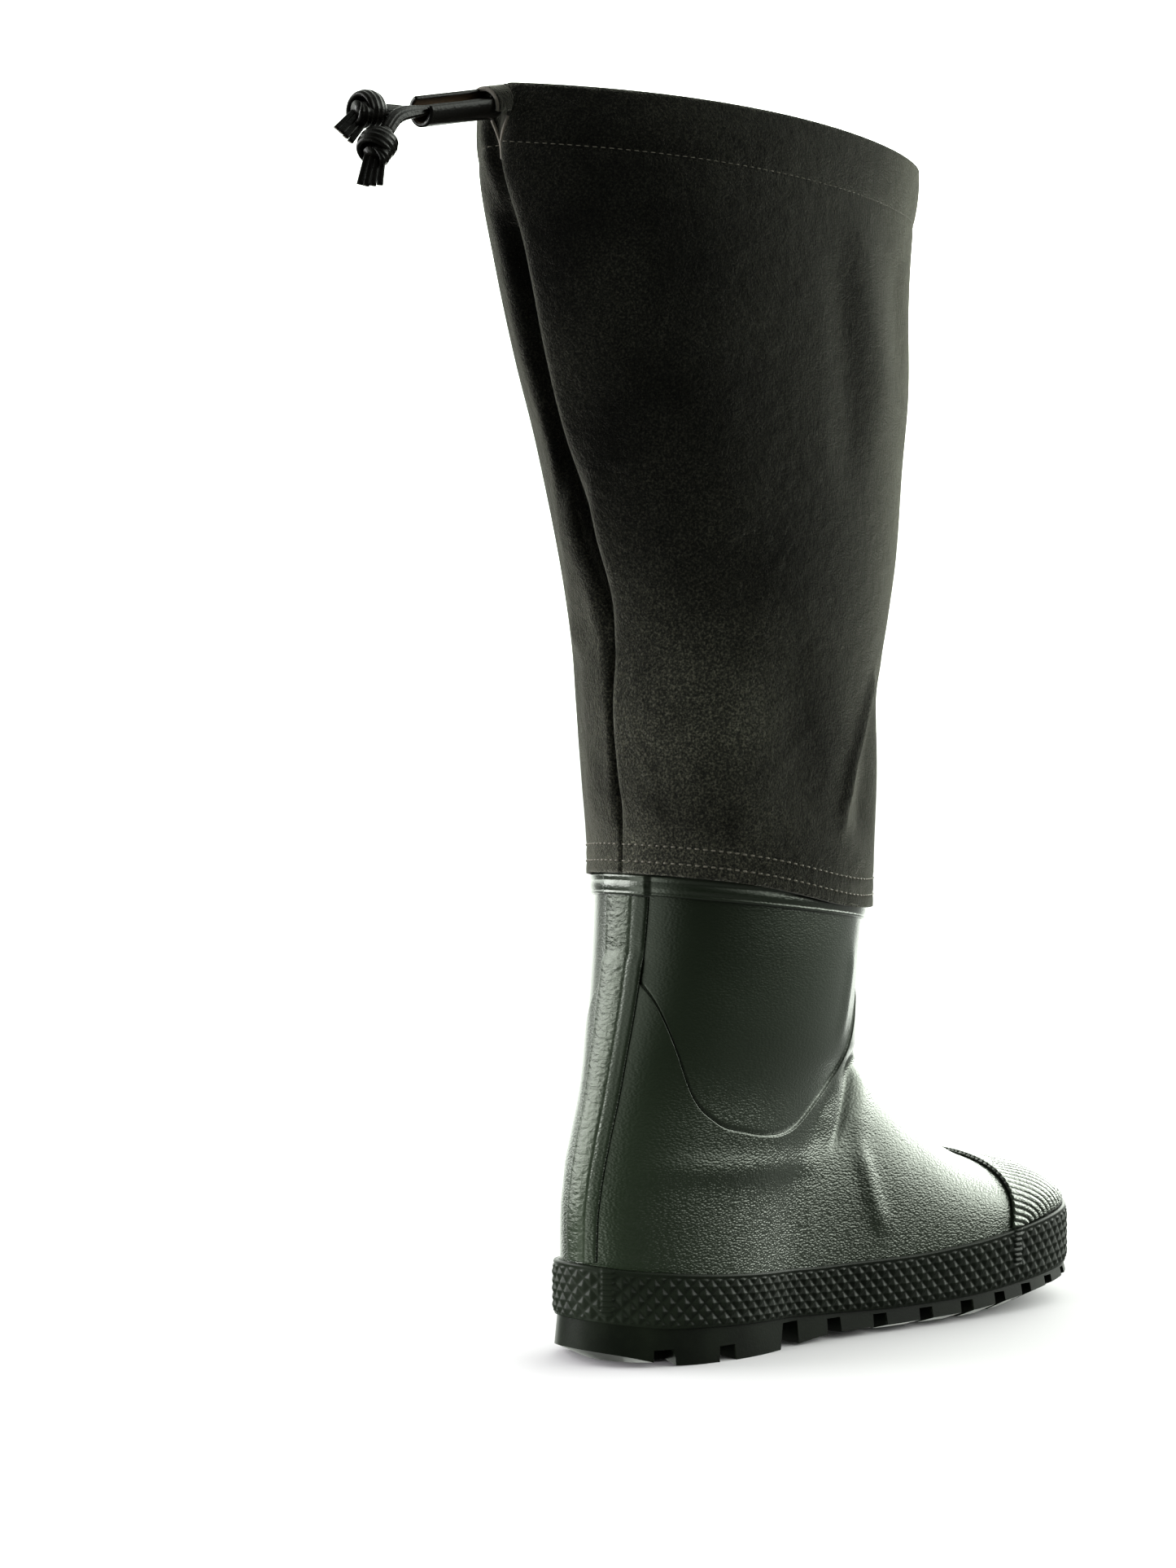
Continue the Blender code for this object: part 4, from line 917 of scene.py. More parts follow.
SUEDE_WALL, HEM_STAND_OFF = 2.0, 0.6
SHAFT_HALF, SHAFT_ROWS, SHAFT_INNER_ROWS, SHAFT_CROWDING = 170, 190, 48, 1.5
HEM_SAG, SAG_OUT, SAG_AT, SAG_RUN, SAG_HIGH = 5.5, 1.6, 112.0, 42.0, 40.0
SEAM_DEPTH, SEAM_HALF, SEAM_TOP, SEAM_END, SEAM_ALONG = 1.5, 0.9, 290.0, 330.0, 60.0
CASING, CASING_RISE, CASING_FADE, CASING_PULL, CASING_PULL_HALF = 24.0, 0.8, (4.0, 10.0), 0.4, 0.07
HEM_ROWS, HEM_PULL, HEM_PULL_HALF, HEM_CREASE_FADE = (5.2, 12.2), 0.35, 1.2, (4.0, 22.0)
SHAFT = rows_of(
    "back_up front_up dip back front outer inner point pleat half seam",
    (243, 229, 0, 23, 166, 58, 59, 1.08, 5, 1.5, 0),
    (277, 264, 0, 20, 166.5, 60, 61, 1.10, 6, 1.7, 0),
    (300, 288, 0, 18.5, 167, 61, 63, 1.12, 8, 2.4, 0),
    (323, 312, 0, 12.5, 173.5, 62, 64, 1.18, 12, 3.8, 0),
    (346, 336, 0, 4, 180, 63, 65, 1.30, 15, 4.6, 2),
    (387, 378, 0, -10, 185.5, 65, 66, 1.32, 16, 4.4, 5),
    (420, 412, 1, -22, 190, 67, 67, 1.28, 14, 5.5, 6),
    (463, 454, 3, -36, 190.5, 69, 69, 1.34, 14, 6, 5),
    (498, 486, 4, -47, 193.5, 71, 71, 1.48, 7, 4.2, 3),
    (528, 513, 4, -47, 197, 73, 72, 1.46, 6, 4.6, 0),
)
SUEDE_CREASES = rows_of(
    CREASE_COLUMNS,
    (-1, 4.0, 2.6, [(134, 292), (128, 284), (119, 268), (110, 249), (105, 230), (104, 212)]),
    (-1, 11.0, -4.6, [(146, 294), (137, 272), (129, 250), (124, 228), (122, 206)]),
    (-1, 16.0, 2.0, [(26, 300), (34, 268), (46, 238), (52, 212)]),
    (-1, 14.0, -1.6, [(66, 318), (72, 286), (78, 250), (80, 216)]),
    (-1, 14.0, 1.8, [(96, 496), (104, 470), (114, 437), (122, 408), (118, 370)]),
    (-1, 10.0, -1.6, [(86, 480), (92, 440), (98, 400), (102, 350)]),
    (-1, 10.0, -1.4, [(136, 476), (142, 446), (146, 414)]),
    (-1, 18.0, 1.6, [(14, 440), (24, 400), (34, 360), (44, 330)]),
    (1, 3.6, 1.9, [(0, 366), (6, 353), (12, 338), (19, 322), (25, 304), (27, 290)]),
    (1, 3.6, 1.6, [(24, 316), (23, 304), (22, 290), (23, 274), (25, 262)]),
    (1, 4.0, 1.3, [(24, 270), (26, 250), (27, 232), (28, 214)]),
    (1, 12.0, -1.8, [(60, 330), (66, 290), (72, 250)]),
    (1, 14.0, 2.0, [(110, 470), (116, 420), (112, 360)]),
)


def shaft_ring(row, shares):
    """Egg-shaped ring, drawn to a point at the back where the seam sinks into a pleat."""
    turn = np.linspace(0.0, np.pi, 2 * FINE)
    swing = (1 - np.cos(turn)) / 2
    along = row.back + (row.front - row.back) * swing
    up = row.back_up + (row.front_up - row.back_up) * swing - row.dip * np.sin(turn)
    sides = []
    for side, half in ((-1, row.outer), (1, row.inner)):
        width = half * np.sin(turn) ** (row.point + (1.0 - row.point) * swing)
        width[-1] = 0.0
        sink = row.pleat * hump(side * width, row.seam, row.half) * (turn < np.pi / 2)
        sides.append(spread(np.stack([along + sink, side * width, up], axis=1), shares))
    return np.concatenate([sides[0], sides[1][-2:0:-1]])


def smooth_rows(rings, stops, wanted):
    """Rings at the wanted stops, on smooth lines through the given ones."""
    chord = np.diff(rings, axis=0) / np.diff(stops)[:, None, None]
    slope = np.concatenate([chord[:1], (chord[1:] + chord[:-1]) / 2, chord[-1:]])
    i = np.clip(np.searchsorted(stops, wanted) - 1, 0, len(stops) - 2)
    width = (stops[i + 1] - stops[i])[:, None, None]
    t = ((wanted - stops[i])[:, None, None]) / width
    bend = width * t * (1 - t) * ((slope[i] - chord[i]) * (1 - t) - (slope[i + 1] - chord[i]) * t)
    return rings[i] * (1 - t) + rings[i + 1] * t + bend


def joined_ramps(add, reading, ramps, operation="MULTIPLY", share=None):
    """Soft ramps over what is read along their axes, each one joined to the share before it."""
    for ramp in ramps:
        ends = ramp_ends(ramp)
        step = add("MapRange", {"Value": reading(ramp.axis)}, ends, interpolation_type="SMOOTHSTEP")
        share = add("Math", {0: share, 1: step}, operation=operation) if share else step
    return share


# Split suede is buffed on both faces: a short nap that scatters light at its edge, brushed into paler
# and darker patches. It is paler low at the back, and a painted highlight pales the front edge of the outer
# side.
# Nap and mottled pile are drawn coarser than they are, so that single fibres show as specks.
SUEDE_DARK, SUEDE_MID, SUEDE_PALE, NAP_TINT = "#090908", "#151512", "#35342d", "#f2efe2"
NAP, NAP_DEPTH, MOTTLE, MOTTLE_DEPTH = 0.95, 1.2, 7.0, 1.2
BRUSHED_PATCH, BRUSHED, LOW_BACK_PALE_SHARE = 55.0, Ramp("patch", 0.35, 0.65, 0.35, 1.65), 4.8
# The suede is made paler towards the bottom of the shaft, and only towards its back.
LOW_BACK_PALING = [Ramp("Z", 0.22, 0.38, LOW_BACK_PALE_SHARE, 1.0), Ramp("X", 0.0, 0.06, 1.0, 1 / LOW_BACK_PALE_SHARE)]
# Painted highlight: the suede is made much paler at the front edge of the outer side, where the nap would
# catch the light from behind.
FRONT_EDGE_PAINTED_HIGHLIGHT = [
    Ramp("X", 0.07, 0.12, 0.0, 7.0),
    Ramp("Z", 0.27, 0.34, 0.0, 1.0),
    Ramp("Y", -0.036, -0.006, 1.0, 0.0),
]
suede, add, place = new_finish(
    "buffed_suede",
    roughness=0.93,
    specular_ior_level=0.1,
    sheen_weight=1.0,
    sheen_roughness=0.23,
    sheen_tint=linear(NAP_TINT),
)
nap = add("TexNoise", {"Vector": place}, {"Scale": PER_METRE / NAP, "Detail": 4.0, "Roughness": 0.7})
nap_stops = [(0.38, SUEDE_DARK), (0.7, SUEDE_PALE), (0.5, SUEDE_MID)]
speckle = add("ValToRGB", {"Fac": nap}, stops=nap_stops)
brushed = add("TexNoise", {"Vector": place}, {"Scale": PER_METRE / BRUSHED_PATCH, "Detail": 4.0})
shade = add("MapRange", {"Value": brushed}, ramp_ends(BRUSHED))
axes = add("SeparateXYZ", {"Vector": place})
shade = joined_ramps(add, axes.outputs.get, LOW_BACK_PALING, share=shade)
# The painted highlight at the front edge of the outer side is added to the tone here.
front = joined_ramps(add, axes.outputs.get, FRONT_EDGE_PAINTED_HIGHLIGHT)
shade = add("Math", {0: shade, 1: front}, operation="ADD")
add("VectorMath", {0: speckle, 1: shade}, operation="MULTIPLY", into=["Base Color"])
mottle = add("TexNoise", {"Vector": place}, {"Scale": PER_METRE / MOTTLE, "Detail": 3.0})
pile = add("Bump", {"Height": mottle}, {"Strength": 1.0, "Distance": MOTTLE_DEPTH * MM})
add("Bump", {"Height": nap, "Normal": pile}, {"Strength": 1.0, "Distance": NAP_DEPTH * MM}, into=["Normal"])

# The cut edge of the suede shows its pale undyed core, frayed into fibres as coarse as the drawn nap.
CUT_PALE, CUT_DARK, FRAY_DEPTH = "#8d857c", "#57514b", 0.4
cut_suede, add, place = new_finish("cut_suede_edge", roughness=0.95, sheen_weight=0.3)
frayed = add("TexNoise", {"Vector": place}, {"Scale": PER_METRE / NAP, "Detail": 4.0})
add("ValToRGB", {"Fac": frayed}, stops=[(0.0, CUT_DARK), (1.0, CUT_PALE)], into=["Base Color"])
add("Bump", {"Height": frayed}, {"Strength": 1.0, "Distance": FRAY_DEPTH * MM}, into=["Normal"])

shares = even(SHAFT_HALF) ** SHAFT_CROWDING
rings = [plan_offset(leg_ring(drop, shares), HEM_STAND_OFF + SUEDE_WALL) for drop in (LAP, 0.0)]
rings = np.stack(rings + [shaft_ring(row, shares) for row in SHAFT])
stops = np.array([COLLAR_BACK - LAP, COLLAR_BACK] + [row.back_up for row in SHAFT])
wanted = stops[0] + (stops[-1] - stops[0]) * even(SHAFT_ROWS)
grid = smooth_rows(rings, stops, wanted)
slack = hump(grid[:, :, 0], SAG_AT, SAG_RUN) * (grid[:, :, 1] < 0)
slack = slack * (1 - fade(wanted - wanted[0], 0.0, SAG_HIGH))[:, None]
grid = grid + ring_normals(grid) * (SAG_OUT * slack)[:, :, None]
grid[:, :, 2] -= HEM_SAG * slack
normals = ring_normals(grid)
along, across, up = np.moveaxis(grid, -1, 0)
below_rim = (up[-1:] - up) / CASING
casing = CASING_RISE * np.sin(np.pi * np.clip(below_rim, 0.0, 1.0))
casing = (casing - CASING_PULL * hump(below_rim, 1.0, CASING_PULL_HALF)) * fade(np.abs(across), *CASING_FADE)
above_hem = up - up[:1]
pulled = HEM_PULL * sum(hump(above_hem, row, HEM_PULL_HALF) for row in HEM_ROWS)
closed = SEAM_DEPTH * (1 - fade(up, SEAM_TOP, SEAM_END)) * (along < SEAM_ALONG) * hump(across, 0.0, SEAM_HALF)
lift = crease_rise(grid, SUEDE_CREASES) * fade(above_hem, *HEM_CREASE_FADE) + casing - pulled - closed
outer = grid + normals * lift[:, :, None]
keep = np.linspace(0, SHAFT_ROWS, SHAFT_INNER_ROWS).astype(int)
inner = np.stack([plan_offset(ring, -SUEDE_WALL) for ring in outer[keep]])
wall = np.concatenate([outer, inner[::-1]])
faces = shell_faces(*wall.shape[:2])
hem_cut = [int(k >= len(faces) - wall.shape[1]) for k in range(len(faces))]
shaft = make_piece("suede_shaft", wall, faces, [suede, cut_suede], "grey_suede", hem_cut)
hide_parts("shaft")

# Stitches are short loops of pale waxed thread, pulled a little into the suede.
THREAD_PALE, THREAD_DARK = "#8a8479", "#57534b"
STITCH_PITCH, STITCH_LONG, STITCH_SIDES, STITCH_FIRST = 3.4, 2.2, 6, 1.0
HEM_THREAD, CASING_THREAD = 0.42, 0.17
STITCH = rows_of(
    "run size raised",
    (0.0, 0.35, -0.6),
    (0.25, 1.0, 0.4),
    (0.75, 1.0, 0.4),
    (1.0, 0.35, -0.6),
)
thread, add, place = new_finish("waxed_thread", roughness=0.6)
twist = add("TexNoise", {"Vector": place}, {"Scale": PER_METRE / STITCH_LONG, "Detail": 2.0})
add("ValToRGB", {"Fac": twist}, stops=[(0.0, THREAD_DARK), (1.0, THREAD_PALE)], into=["Base Color"])


def surface_line(row_height):
    """A closed line round the shaft's outside, and its normals, where each column has a wanted height."""
    line, facing = [], []
    out = ring_normals(outer)
    for c in range(outer.shape[1]):
        heights = outer[:, c, 2]
        r = int(np.clip(np.searchsorted(heights, row_height[c]) - 1, 0, len(heights) - 2))
        t = (row_height[c] - heights[r]) / (heights[r + 1] - heights[r])
        line.append(outer[r, c] * (1 - t) + outer[r + 1, c] * t)
        facing.append(out[r, c])
    return np.array(line), np.array(facing)


def stitch_row(line, facing, half):
    """Stitches laid end to end along a line, each a small arched capsule of rings."""
    run = run_along(line)
    share, size, raised = np.array(STITCH).T
    turns = np.linspace(0.0, 2 * np.pi, STITCH_SIDES, endpoint=False)
    stitches = []
    for start in np.arange(STITCH_FIRST, run[-1] - STITCH_PITCH, STITCH_PITCH):
        spots = at_run(start + STITCH_LONG * share, run, line)
        out = at_run(start, run, facing)
        beside = np.cross(unit(spots[-1] - spots[0]), out)
        radial = np.outer(np.cos(turns), beside) + np.outer(np.sin(turns), out)
        middle = spots + np.outer(raised * half, out)
        stitches.append(middle[:, None, :] + radial[None] * (half * size)[:, None, None])
    return stitches


def capped_tubes(tubes):
    """Points and faces of several tubes of rings, each closed at both ends."""
    points, faces = [], []
    for tube in tubes:
        rows, columns = tube.shape[:2]
        first, last = len(points), len(points) + (rows - 1) * columns
        faces += grid_faces(rows, columns, closed=True, start=first)
        faces += [tuple(range(first, first + columns)), tuple(range(last, last + columns))]
        points += list(tube.reshape(-1, 3))
    return points, faces


stitches = []
for height in HEM_ROWS:
    stitches += stitch_row(*surface_line(outer[0, :, 2] + height), HEM_THREAD)
stitches += stitch_row(*surface_line(outer[-1, :, 2] - CASING), CASING_THREAD)
make_piece("thread_stitches", *capped_tubes(stitches), [thread], "grey_suede")

# The casing's end stands up as a short arched mouth round the drawstring, and its slit runs down from it.
MOUTH_START, MOUTH_END, MOUTH_RADIUS, MOUTH_SQUASH = (-43.0, 0.0, 519.2), (-52.5, 0.0, 517.2), 8.6, 0.92
MOUTH_TURNS, MOUTH_STEPS, MOUTH_ROWS = (-25.0, 205.0), 40, 6
SLIT_HALF, SLIT_ROWS, SLIT_SIDES, SLIT_FACING = 0.75, 12, 8, np.array([-1.0, -0.3, 0.2])
SLIT_EDGES = [
    [(5.6, 514), (4.4, 509), (2.6, 503), (0.8, 497)],
    [(-6.0, 514), (-4.4, 509), (-2.4, 503), (0.2, 497)],
]
GROOVE_SPOTS, GROOVE_HALF = (-0.55, 0.0, 0.55), 0.13


def rolled_sheet(start, end, radius, wall, turns, steps, rows, squash=1.0):
    """Outer and inner points of a sheet rolled round a line; it covers the turns, given in degrees."""
    start, end = np.array(start), np.array(end)
    level = np.array([0.0, -1.0, 0.0])
    upright = np.cross(unit(end - start), level) * squash
    angles = np.radians(np.linspace(*turns, steps + 1))
    arc = np.outer(np.cos(angles), level) + np.outer(np.sin(angles), upright)
    run = (end - start) * even(rows)[:, None, None]
    return np.stack([start + arc * size + run for size in (radius, radius - wall)])


def sweep(route, wide, thick, grooves, facing, sides=36):
    """Rings of a strap swept along a route; facing is the direction its flat side looks in."""
    ahead = unit(np.gradient(route, axis=0))
    beside = unit(np.cross(ahead, facing))
    out = np.cross(beside, ahead)
    turns = np.linspace(0.0, 2 * np.pi, sides, endpoint=False)
    depth = 1 - grooves * sum(hump(np.cos(turns), spot, GROOVE_HALF) for spot in GROOVE_SPOTS)
    flat = np.cos(turns)[None, :, None] * beside[:, None, :] * np.reshape(wide, (-1, 1, 1))
    proud = (np.sin(turns) * depth)[None, :, None] * out[:, None, :] * np.reshape(thick, (-1, 1, 1))
    return route[:, None, :] + flat + proud


def on_back(across, up):
    """Point of the shaft's outside, at its back, nearest to a place across and up."""
    gap = np.hypot(outer[:, :, 1] - across, outer[:, :, 2] - up)
    return outer.reshape(-1, 3)[np.where(outer[:, :, 0] > 0, np.inf, gap).argmin()]


mouth = rolled_sheet(
    MOUTH_START, MOUTH_END, MOUTH_RADIUS, SUEDE_WALL, MOUTH_TURNS, MOUTH_STEPS, MOUTH_ROWS, MOUTH_SQUASH
)
faces = sheet_faces(*mouth.shape[1:3])
mouth_cut = [int(k >= 2 * MOUTH_ROWS * MOUTH_STEPS) for k in range(len(faces))]
make_piece("casing_mouth", mouth, faces, [suede, cut_suede], "grey_suede", mouth_cut)
slit = []
for edge in SLIT_EDGES:
    route = spread(np.array([on_back(across, up) for across, up in edge]), even(SLIT_ROWS))
    slit.append(sweep(route, SLIT_HALF, SLIT_HALF, 0.0, SLIT_FACING, SLIT_SIDES))
make_piece("casing_slit_edges", *capped_tubes(slit), [cut_suede], "grey_suede")


# Drawstring: a black leather lace runs in the casing; its two ends leave it at the back.
# Both go through the slider, open into a flat strap beyond it, and each ends in a knot with a short tail.

LACE_RADIUS, LACE_FLAT, LACE_GROOVE, LACE_POINTS = 2.0, 3.0, 0.3, 26
LACE_SPREAD, LACE_FACING = (-97.0, -86.0), np.array([0.0, -1.0, 0.5])
LaceRow = namedtuple("LaceRow", "along across up")
OUTER_LACE = [
    LaceRow(-44.4, -2.3, 520.2),
    LaceRow(-66.0, -2.3, 515.2),
    LaceRow(-87.5, -2.4, 510.5),
    LaceRow(-103.0, -3.8, 506.0),
    LaceRow(-110.0, -4.6, 498.5),
]
INNER_LACE = [
    LaceRow(-44.4, 2.3, 520.2),
    LaceRow(-66.0, 2.3, 515.2),
    LaceRow(-87.5, 2.4, 510.5),
    LaceRow(-105.0, 3.4, 509.0),
]

# Lace leather is drum-dyed black with a waxed, lightly wrinkled grain that catches narrow highlights.
# The grain is drawn coarser than it is, so that it shows. Worn patches are ninety to the metre.
LACE_BLACK, LACE_WORN = "#080706", "#141210"
LEATHER_GRAIN, GRAIN_DEPTH, WORN_PATCH = 1.1, 0.2, 1000 / 90
black_leather, add, place = new_finish("waxed_black_leather", roughness=0.26, specular_ior_level=0.14)
grain = add("TexVoronoi", {"Vector": place}, {"Scale": PER_METRE / LEATHER_GRAIN})
worn = add("TexNoise", {"Vector": place}, {"Scale": PER_METRE / WORN_PATCH, "Detail": 4.0})
add("ValToRGB", {"Fac": worn}, stops=[(0.0, LACE_BLACK), (1.0, LACE_WORN)], into=["Base Color"])
add("Bump", {"Height": grain}, {"Strength": 0.35, "Distance": GRAIN_DEPTH * MM}, into=["Normal"])


def smooth_route(rows):
    """Evenly spaced points on a smooth line through a lace's own points."""
    Stop = namedtuple("Stop", "run along across up")
    table = [Stop(run, *row) for run, row in zip(run_along(np.array(rows, float)), rows)]
    run = np.linspace(0.0, table[-1].run, LACE_POINTS)
    return np.stack([curve(table, column)(run) for column in LaceRow._fields], axis=1)


laces = []
for side, rows in (("outer", OUTER_LACE), ("inner", INNER_LACE)):
    route = smooth_route(rows)
    wide = np.interp(route[:, 0], LACE_SPREAD, (LACE_FLAT, LACE_RADIUS))
    tube = sweep(route, wide, LACE_RADIUS, LACE_GROOVE, LACE_FACING)
    lace = make_piece(f"lace_end_{side}", *capped_tubes([tube]), [black_leather], "black_leather")
    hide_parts(f"lace_{side}")
    laces.append((lace, route))


# Knots: each lace end is tied in an overhand knot and cut off square, the tail grooved into strips.
# The turns of the knot lie flat on each other, and the cut ends show the leather's grey core.

KNOT_RADIUS, KNOT_LONG, KNOT_START, KNOT_WAIST = 6.0, 8.6, 3.0, 0.85
WRAP_HALF, WRAP_THICK, WRAP_GROOVE, WRAP_TURNS, WRAP_POINTS = 4.2, 1.9, 0.35, 1.9, 90
TUCK_SHARE, TUCK_LEAST, TUCK_SINK = 0.1, 0.15, 0.6
HEART_RADIUS, HEART_RUN, HEART_ROWS, HEART_FACING = 3.4, (-0.5, 4.0), 12, np.array([0.0, -0.5, 1.0])
TAB_SHARES, TAB_HALF, TAB_THICK, TAB_ROWS, TAB_SIDES = (-0.75, -0.25, 0.25, 0.75), 1.3, 0.5, 12, 16
TAIL_LONG, TAIL_HALF, TAIL_ROOT, TAIL_TUCK, TAIL_AHEAD, TAIL_CURL = 17.0, 5.2, 0.7, 1.0, 0.6, 0.8
TAIL_FACING = np.array([-0.7, -0.7, 0.2])
KNOTS = rows_of(
    "side droop lengths",
    ("outer", -1.0, (0.92, 0.97, 1.0, 0.98)),
    ("inner", -0.55, (1.0, 0.97, 0.93, 0.9)),
)
for row, (lace, route) in zip(KNOTS, laces):
    start = route[-1]
    ahead = unit(route[-1] - route[-2])
    level = unit(np.cross(ahead, [0.0, 0.0, 1.0]))
    upright = np.cross(level, ahead)
    share = np.linspace(0.0, 1.0, WRAP_POINTS)
    turn = 2 * np.pi * WRAP_TURNS * share
    tuck = np.clip(np.minimum(share, 1 - share) / TUCK_SHARE, TUCK_LEAST, 1.0)
    swell = KNOT_RADIUS * (KNOT_WAIST + (1 - KNOT_WAIST) * np.sin(np.pi * share))
    swell = swell * (TUCK_SINK + (1 - TUCK_SINK) * tuck)
    radial = np.outer(np.cos(turn), upright) + np.outer(np.sin(turn), level)
    coil = start + np.outer(KNOT_START + KNOT_LONG * share, ahead) + radial * swell[:, None]
    strap = sweep(coil, WRAP_HALF * tuck, WRAP_THICK * tuck, WRAP_GROOVE, radial)
    core = np.linspace(HEART_RUN[0], KNOT_LONG + HEART_RUN[1], HEART_ROWS)[:, None]
    heart = sweep(start + ahead * core, HEART_RADIUS, HEART_RADIUS, 0.0, HEART_FACING)
    tail_way = unit(ahead * TAIL_AHEAD + np.array([0.0, 0.0, row.droop]))
    tail_side = unit(np.cross(tail_way, TAIL_FACING))
    run = even(TAB_ROWS)[:, None]
    tabs = []
    for share, long in zip(TAB_SHARES, row.lengths):
        tab = start + ahead * (KNOT_LONG - TAIL_TUCK) + tail_way * TAIL_LONG * long * run
        tab = tab + tail_side * share * TAIL_HALF * (TAIL_ROOT + (1 - TAIL_ROOT) * run)
        tab = tab - TAIL_FACING * TAIL_CURL * share**2 * run**2
        tabs.append(sweep(tab, TAB_HALF, TAB_THICK, 0.0, TAIL_FACING, TAB_SIDES))
    points, faces = capped_tubes([strap, heart] + tabs)
    tab_faces = TAB_ROWS * TAB_SIDES + 2
    cut_ends = [0] * (len(faces) - tab_faces * len(tabs)) + ([0] * (tab_faces - 1) + [1]) * len(tabs)
    knot_finishes = [black_leather, cut_suede]
    knot = make_piece(f"overhand_knot_{row.side}", points, faces, knot_finishes, "black_leather", cut_ends)
    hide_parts(f"knot_{row.side}")


# Slider: a rolled piece of thick leather, open along its top, that pinches both lace ends.
# It is black outside, natural brown inside.

SLIDER_RADIUS, SLIDER_WALL, SLIDER_SLIT = 6.4, 1.7, (12.0, 104.0)
SLIDER_START, SLIDER_END = LaceRow(-48.5, 0.0, 519.0), LaceRow(-87.5, 0.0, 510.5)
SLIDER_STEPS, SLIDER_ROWS = 48, 30

# The flesh side of natural leather is undyed: brown, matt and fibrous, drawn as coarse as the grain.
TAN_PALE, TAN_DARK = "#5c4630", "#38291b"
tan_leather, add, place = new_finish("natural_leather_flesh", roughness=0.75)
fibre = add("TexNoise", {"Vector": place}, {"Scale": PER_METRE / LEATHER_GRAIN, "Detail": 4.0})
add("ValToRGB", {"Fac": fibre}, stops=[(0.0, TAN_DARK), (1.0, TAN_PALE)], into=["Base Color"])
turns = (SLIDER_SLIT[1], SLIDER_SLIT[0] + 360.0)
tube = rolled_sheet(SLIDER_START, SLIDER_END, SLIDER_RADIUS, SLIDER_WALL, turns, SLIDER_STEPS, SLIDER_ROWS)
faces = sheet_faces(*tube.shape[1:3])
flesh = [int(min(face) >= tube[0].size // 3) for face in faces]
slider_finishes = [black_leather, tan_leather]
slider = make_piece("rolled_leather_slider", tube, faces, slider_finishes, "black_leather", flesh)
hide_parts("lace_slider")
for (lace, route), knot in zip(laces, ("overhand_knot_outer", "overhand_knot_inner")):
    path = (route - [HEEL_CENTRE, 0.0, 0.0]) * MM
    on_it = [knot] if "outer" in knot else [knot, slider]
    tuple(path[0])


# Studio: a pale matt floor, an open white surround that is brightest behind the boot, two soft boxes.
# The camera stands behind the boot on its outer side, level, at half the boot's height.

# White board is matt and even, with slow faint patches, three to the metre.
# It takes the shadow and lights nothing itself.
FLOOR_HALF, FLOOR_WHITE, FLOOR_SHADE, FLOOR_PATCH = 40.0, "#e6e2e8", "#e2dee4", 1000 / 3
FLOOR_CORNERS = ((-1, -1), (1, -1), (1, 1), (-1, 1))
board, add, place = new_finish("matt_white_board", roughness=0.85)
patch = add("TexNoise", {"Vector": place}, {"Scale": PER_METRE / FLOOR_PATCH, "Detail": 2.0})
add("ValToRGB", {"Fac": patch}, stops=[(0.0, FLOOR_SHADE), (1.0, FLOOR_WHITE)], into=["Base Color"])
mesh = bpy.data.meshes.new("studio_floor")
mesh.from_pydata([(x * FLOOR_HALF, y * FLOOR_HALF, 0.0) for x, y in FLOOR_CORNERS], [], [(0, 1, 2, 3)])
mesh.materials.append(board)
studio_floor = bpy.data.objects.new("studio_floor", mesh)
bpy.context.scene.collection.objects.link(studio_floor)
studio_floor.visible_diffuse = False
studio_floor.visible_glossy = False

# Light of the surround: soft ramps over its directions are multiplied, then the brighter sheets are laid in.
VIEW, RIGHT = np.array([0.70711, 0.70711, 0.0]), np.array([0.70711, -0.70711, 0.0])
UPWARD = np.array([0.0, 0.0, 1.0])
SURROUND_TINT = "#f8fff5"
SURROUND = [
    Ramp(VIEW, -0.96, 0.5, 0.1, 8.0),
    Ramp(RIGHT, -0.1, 0.3, 0.32, 1.0),
    Ramp(UPWARD, -0.02, 0.19, 0.04, 1.0),
    Ramp(UPWARD, 0.38, 0.8, 1.0, 0.22),
]
BRIGHT_SHEETS = [
    Ramp(VIEW, 0.8, 0.93, 0.0, 2.0),
    Ramp(-UPWARD, 0.12, 0.4, 0.0, 0.15),
    Ramp(-0.9 * RIGHT - 0.44 * VIEW, 0.7, 0.97, 0.0, 0.5),
    Ramp(-0.82 * RIGHT - 0.4 * VIEW - 0.4 * UPWARD, 0.88, 0.985, 0.0, 1.8),
]
world = bpy.data.worlds.new("white_surround")
world.use_nodes = True
world.node_tree.nodes.clear()
add = partial(add_node, world.node_tree, None)
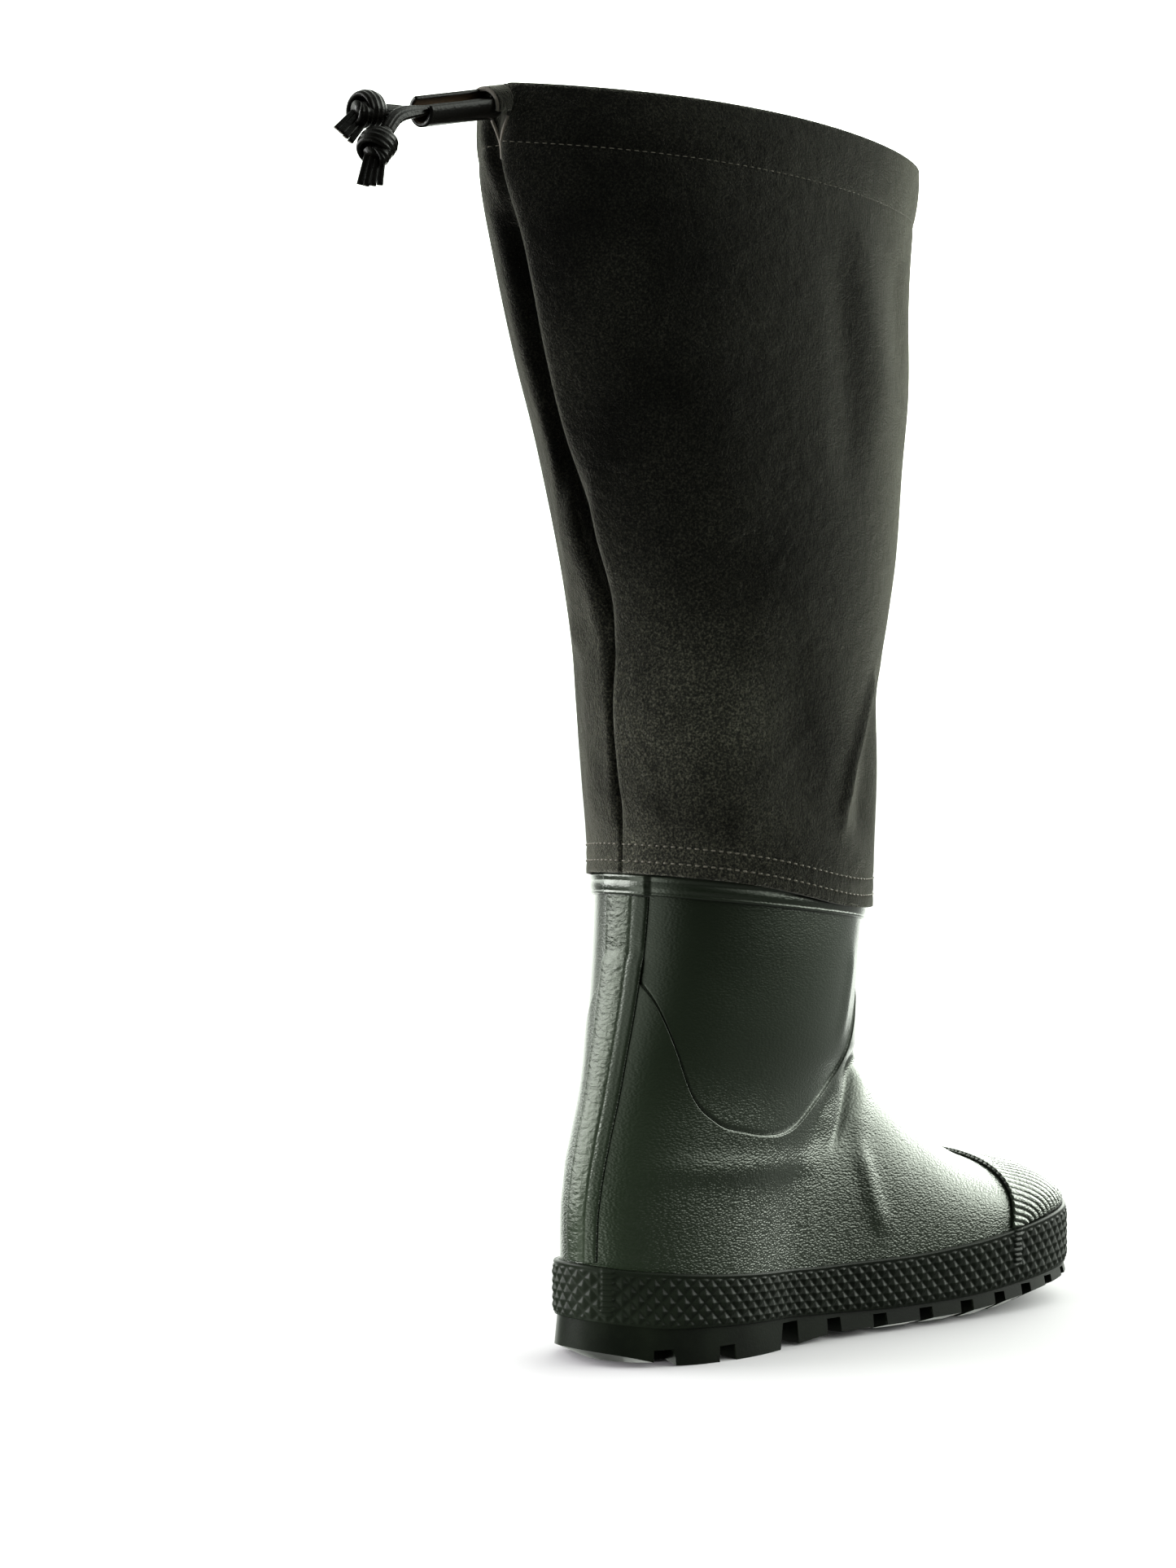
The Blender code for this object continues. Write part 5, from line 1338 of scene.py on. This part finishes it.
direction = add("TexCoord").outputs["Generated"]


def toward(axis):
    """Cosine of the angle between a direction of the surround and an axis."""
    return add("VectorMath", {0: direction}, {1: axis}, operation="DOT_PRODUCT").outputs["Value"]


glow = joined_ramps(add, toward, SURROUND)
glow = joined_ramps(add, toward, BRIGHT_SHEETS, "MAXIMUM", glow)
surround = add("Background", {"Strength": glow}, {"Color": linear(SURROUND_TINT)})
add("OutputWorld", {"Surface": surround})
bpy.context.scene.world = world

SOFT_BOXES = rows_of(
    "name right away up aim size spread watts glossy",
    ("soft_box_left", -1.4, 0.25, 0.62, 0.3, 1.2, 180.0, 24.0, True),
    ("low_fill", -1.0, -0.9, 0.1, 0.0, 0.15, 16.0, 0.28, False),
)
AIM_FORWARD = 0.05
for box in SOFT_BOXES:
    lamp = bpy.data.lights.new(box.name, "AREA")
    lamp.energy, lamp.shape, lamp.size, lamp.spread = box.watts, "SQUARE", box.size, np.radians(box.spread)
    light = bpy.data.objects.new(box.name, lamp)
    light.visible_glossy = box.glossy
    light.location = RIGHT * box.right + VIEW * box.away + UPWARD * box.up
    x, y, z = np.array([AIM_FORWARD, 0.0, box.aim]) - light.location
    light.rotation_euler = (np.arctan2(np.hypot(x, y), -z), 0.0, np.arctan2(y, x) - np.pi / 2)
    bpy.context.scene.collection.objects.link(light)

IMAGE_HIGH, FOCAL_PIXELS, HORIZON_PIXEL, SENSOR = 1926, 4000.0, 880.0, 36.0
CAMERA_PLACE = (-0.9934, -0.9623, 0.270)
lens = bpy.data.cameras.new("view")
lens.sensor_width = SENSOR
lens.lens = FOCAL_PIXELS * SENSOR / IMAGE_HIGH
lens.shift_y = -(IMAGE_HIGH / 2 - HORIZON_PIXEL) / IMAGE_HIGH
camera = bpy.data.objects.new("view", lens)
camera.location = CAMERA_PLACE
camera.rotation_euler = (np.pi / 2, 0.0, -np.pi / 4)
bpy.context.scene.collection.objects.link(camera)
bpy.context.scene.camera = camera
bpy.context.scene.view_settings.view_transform = "Standard"
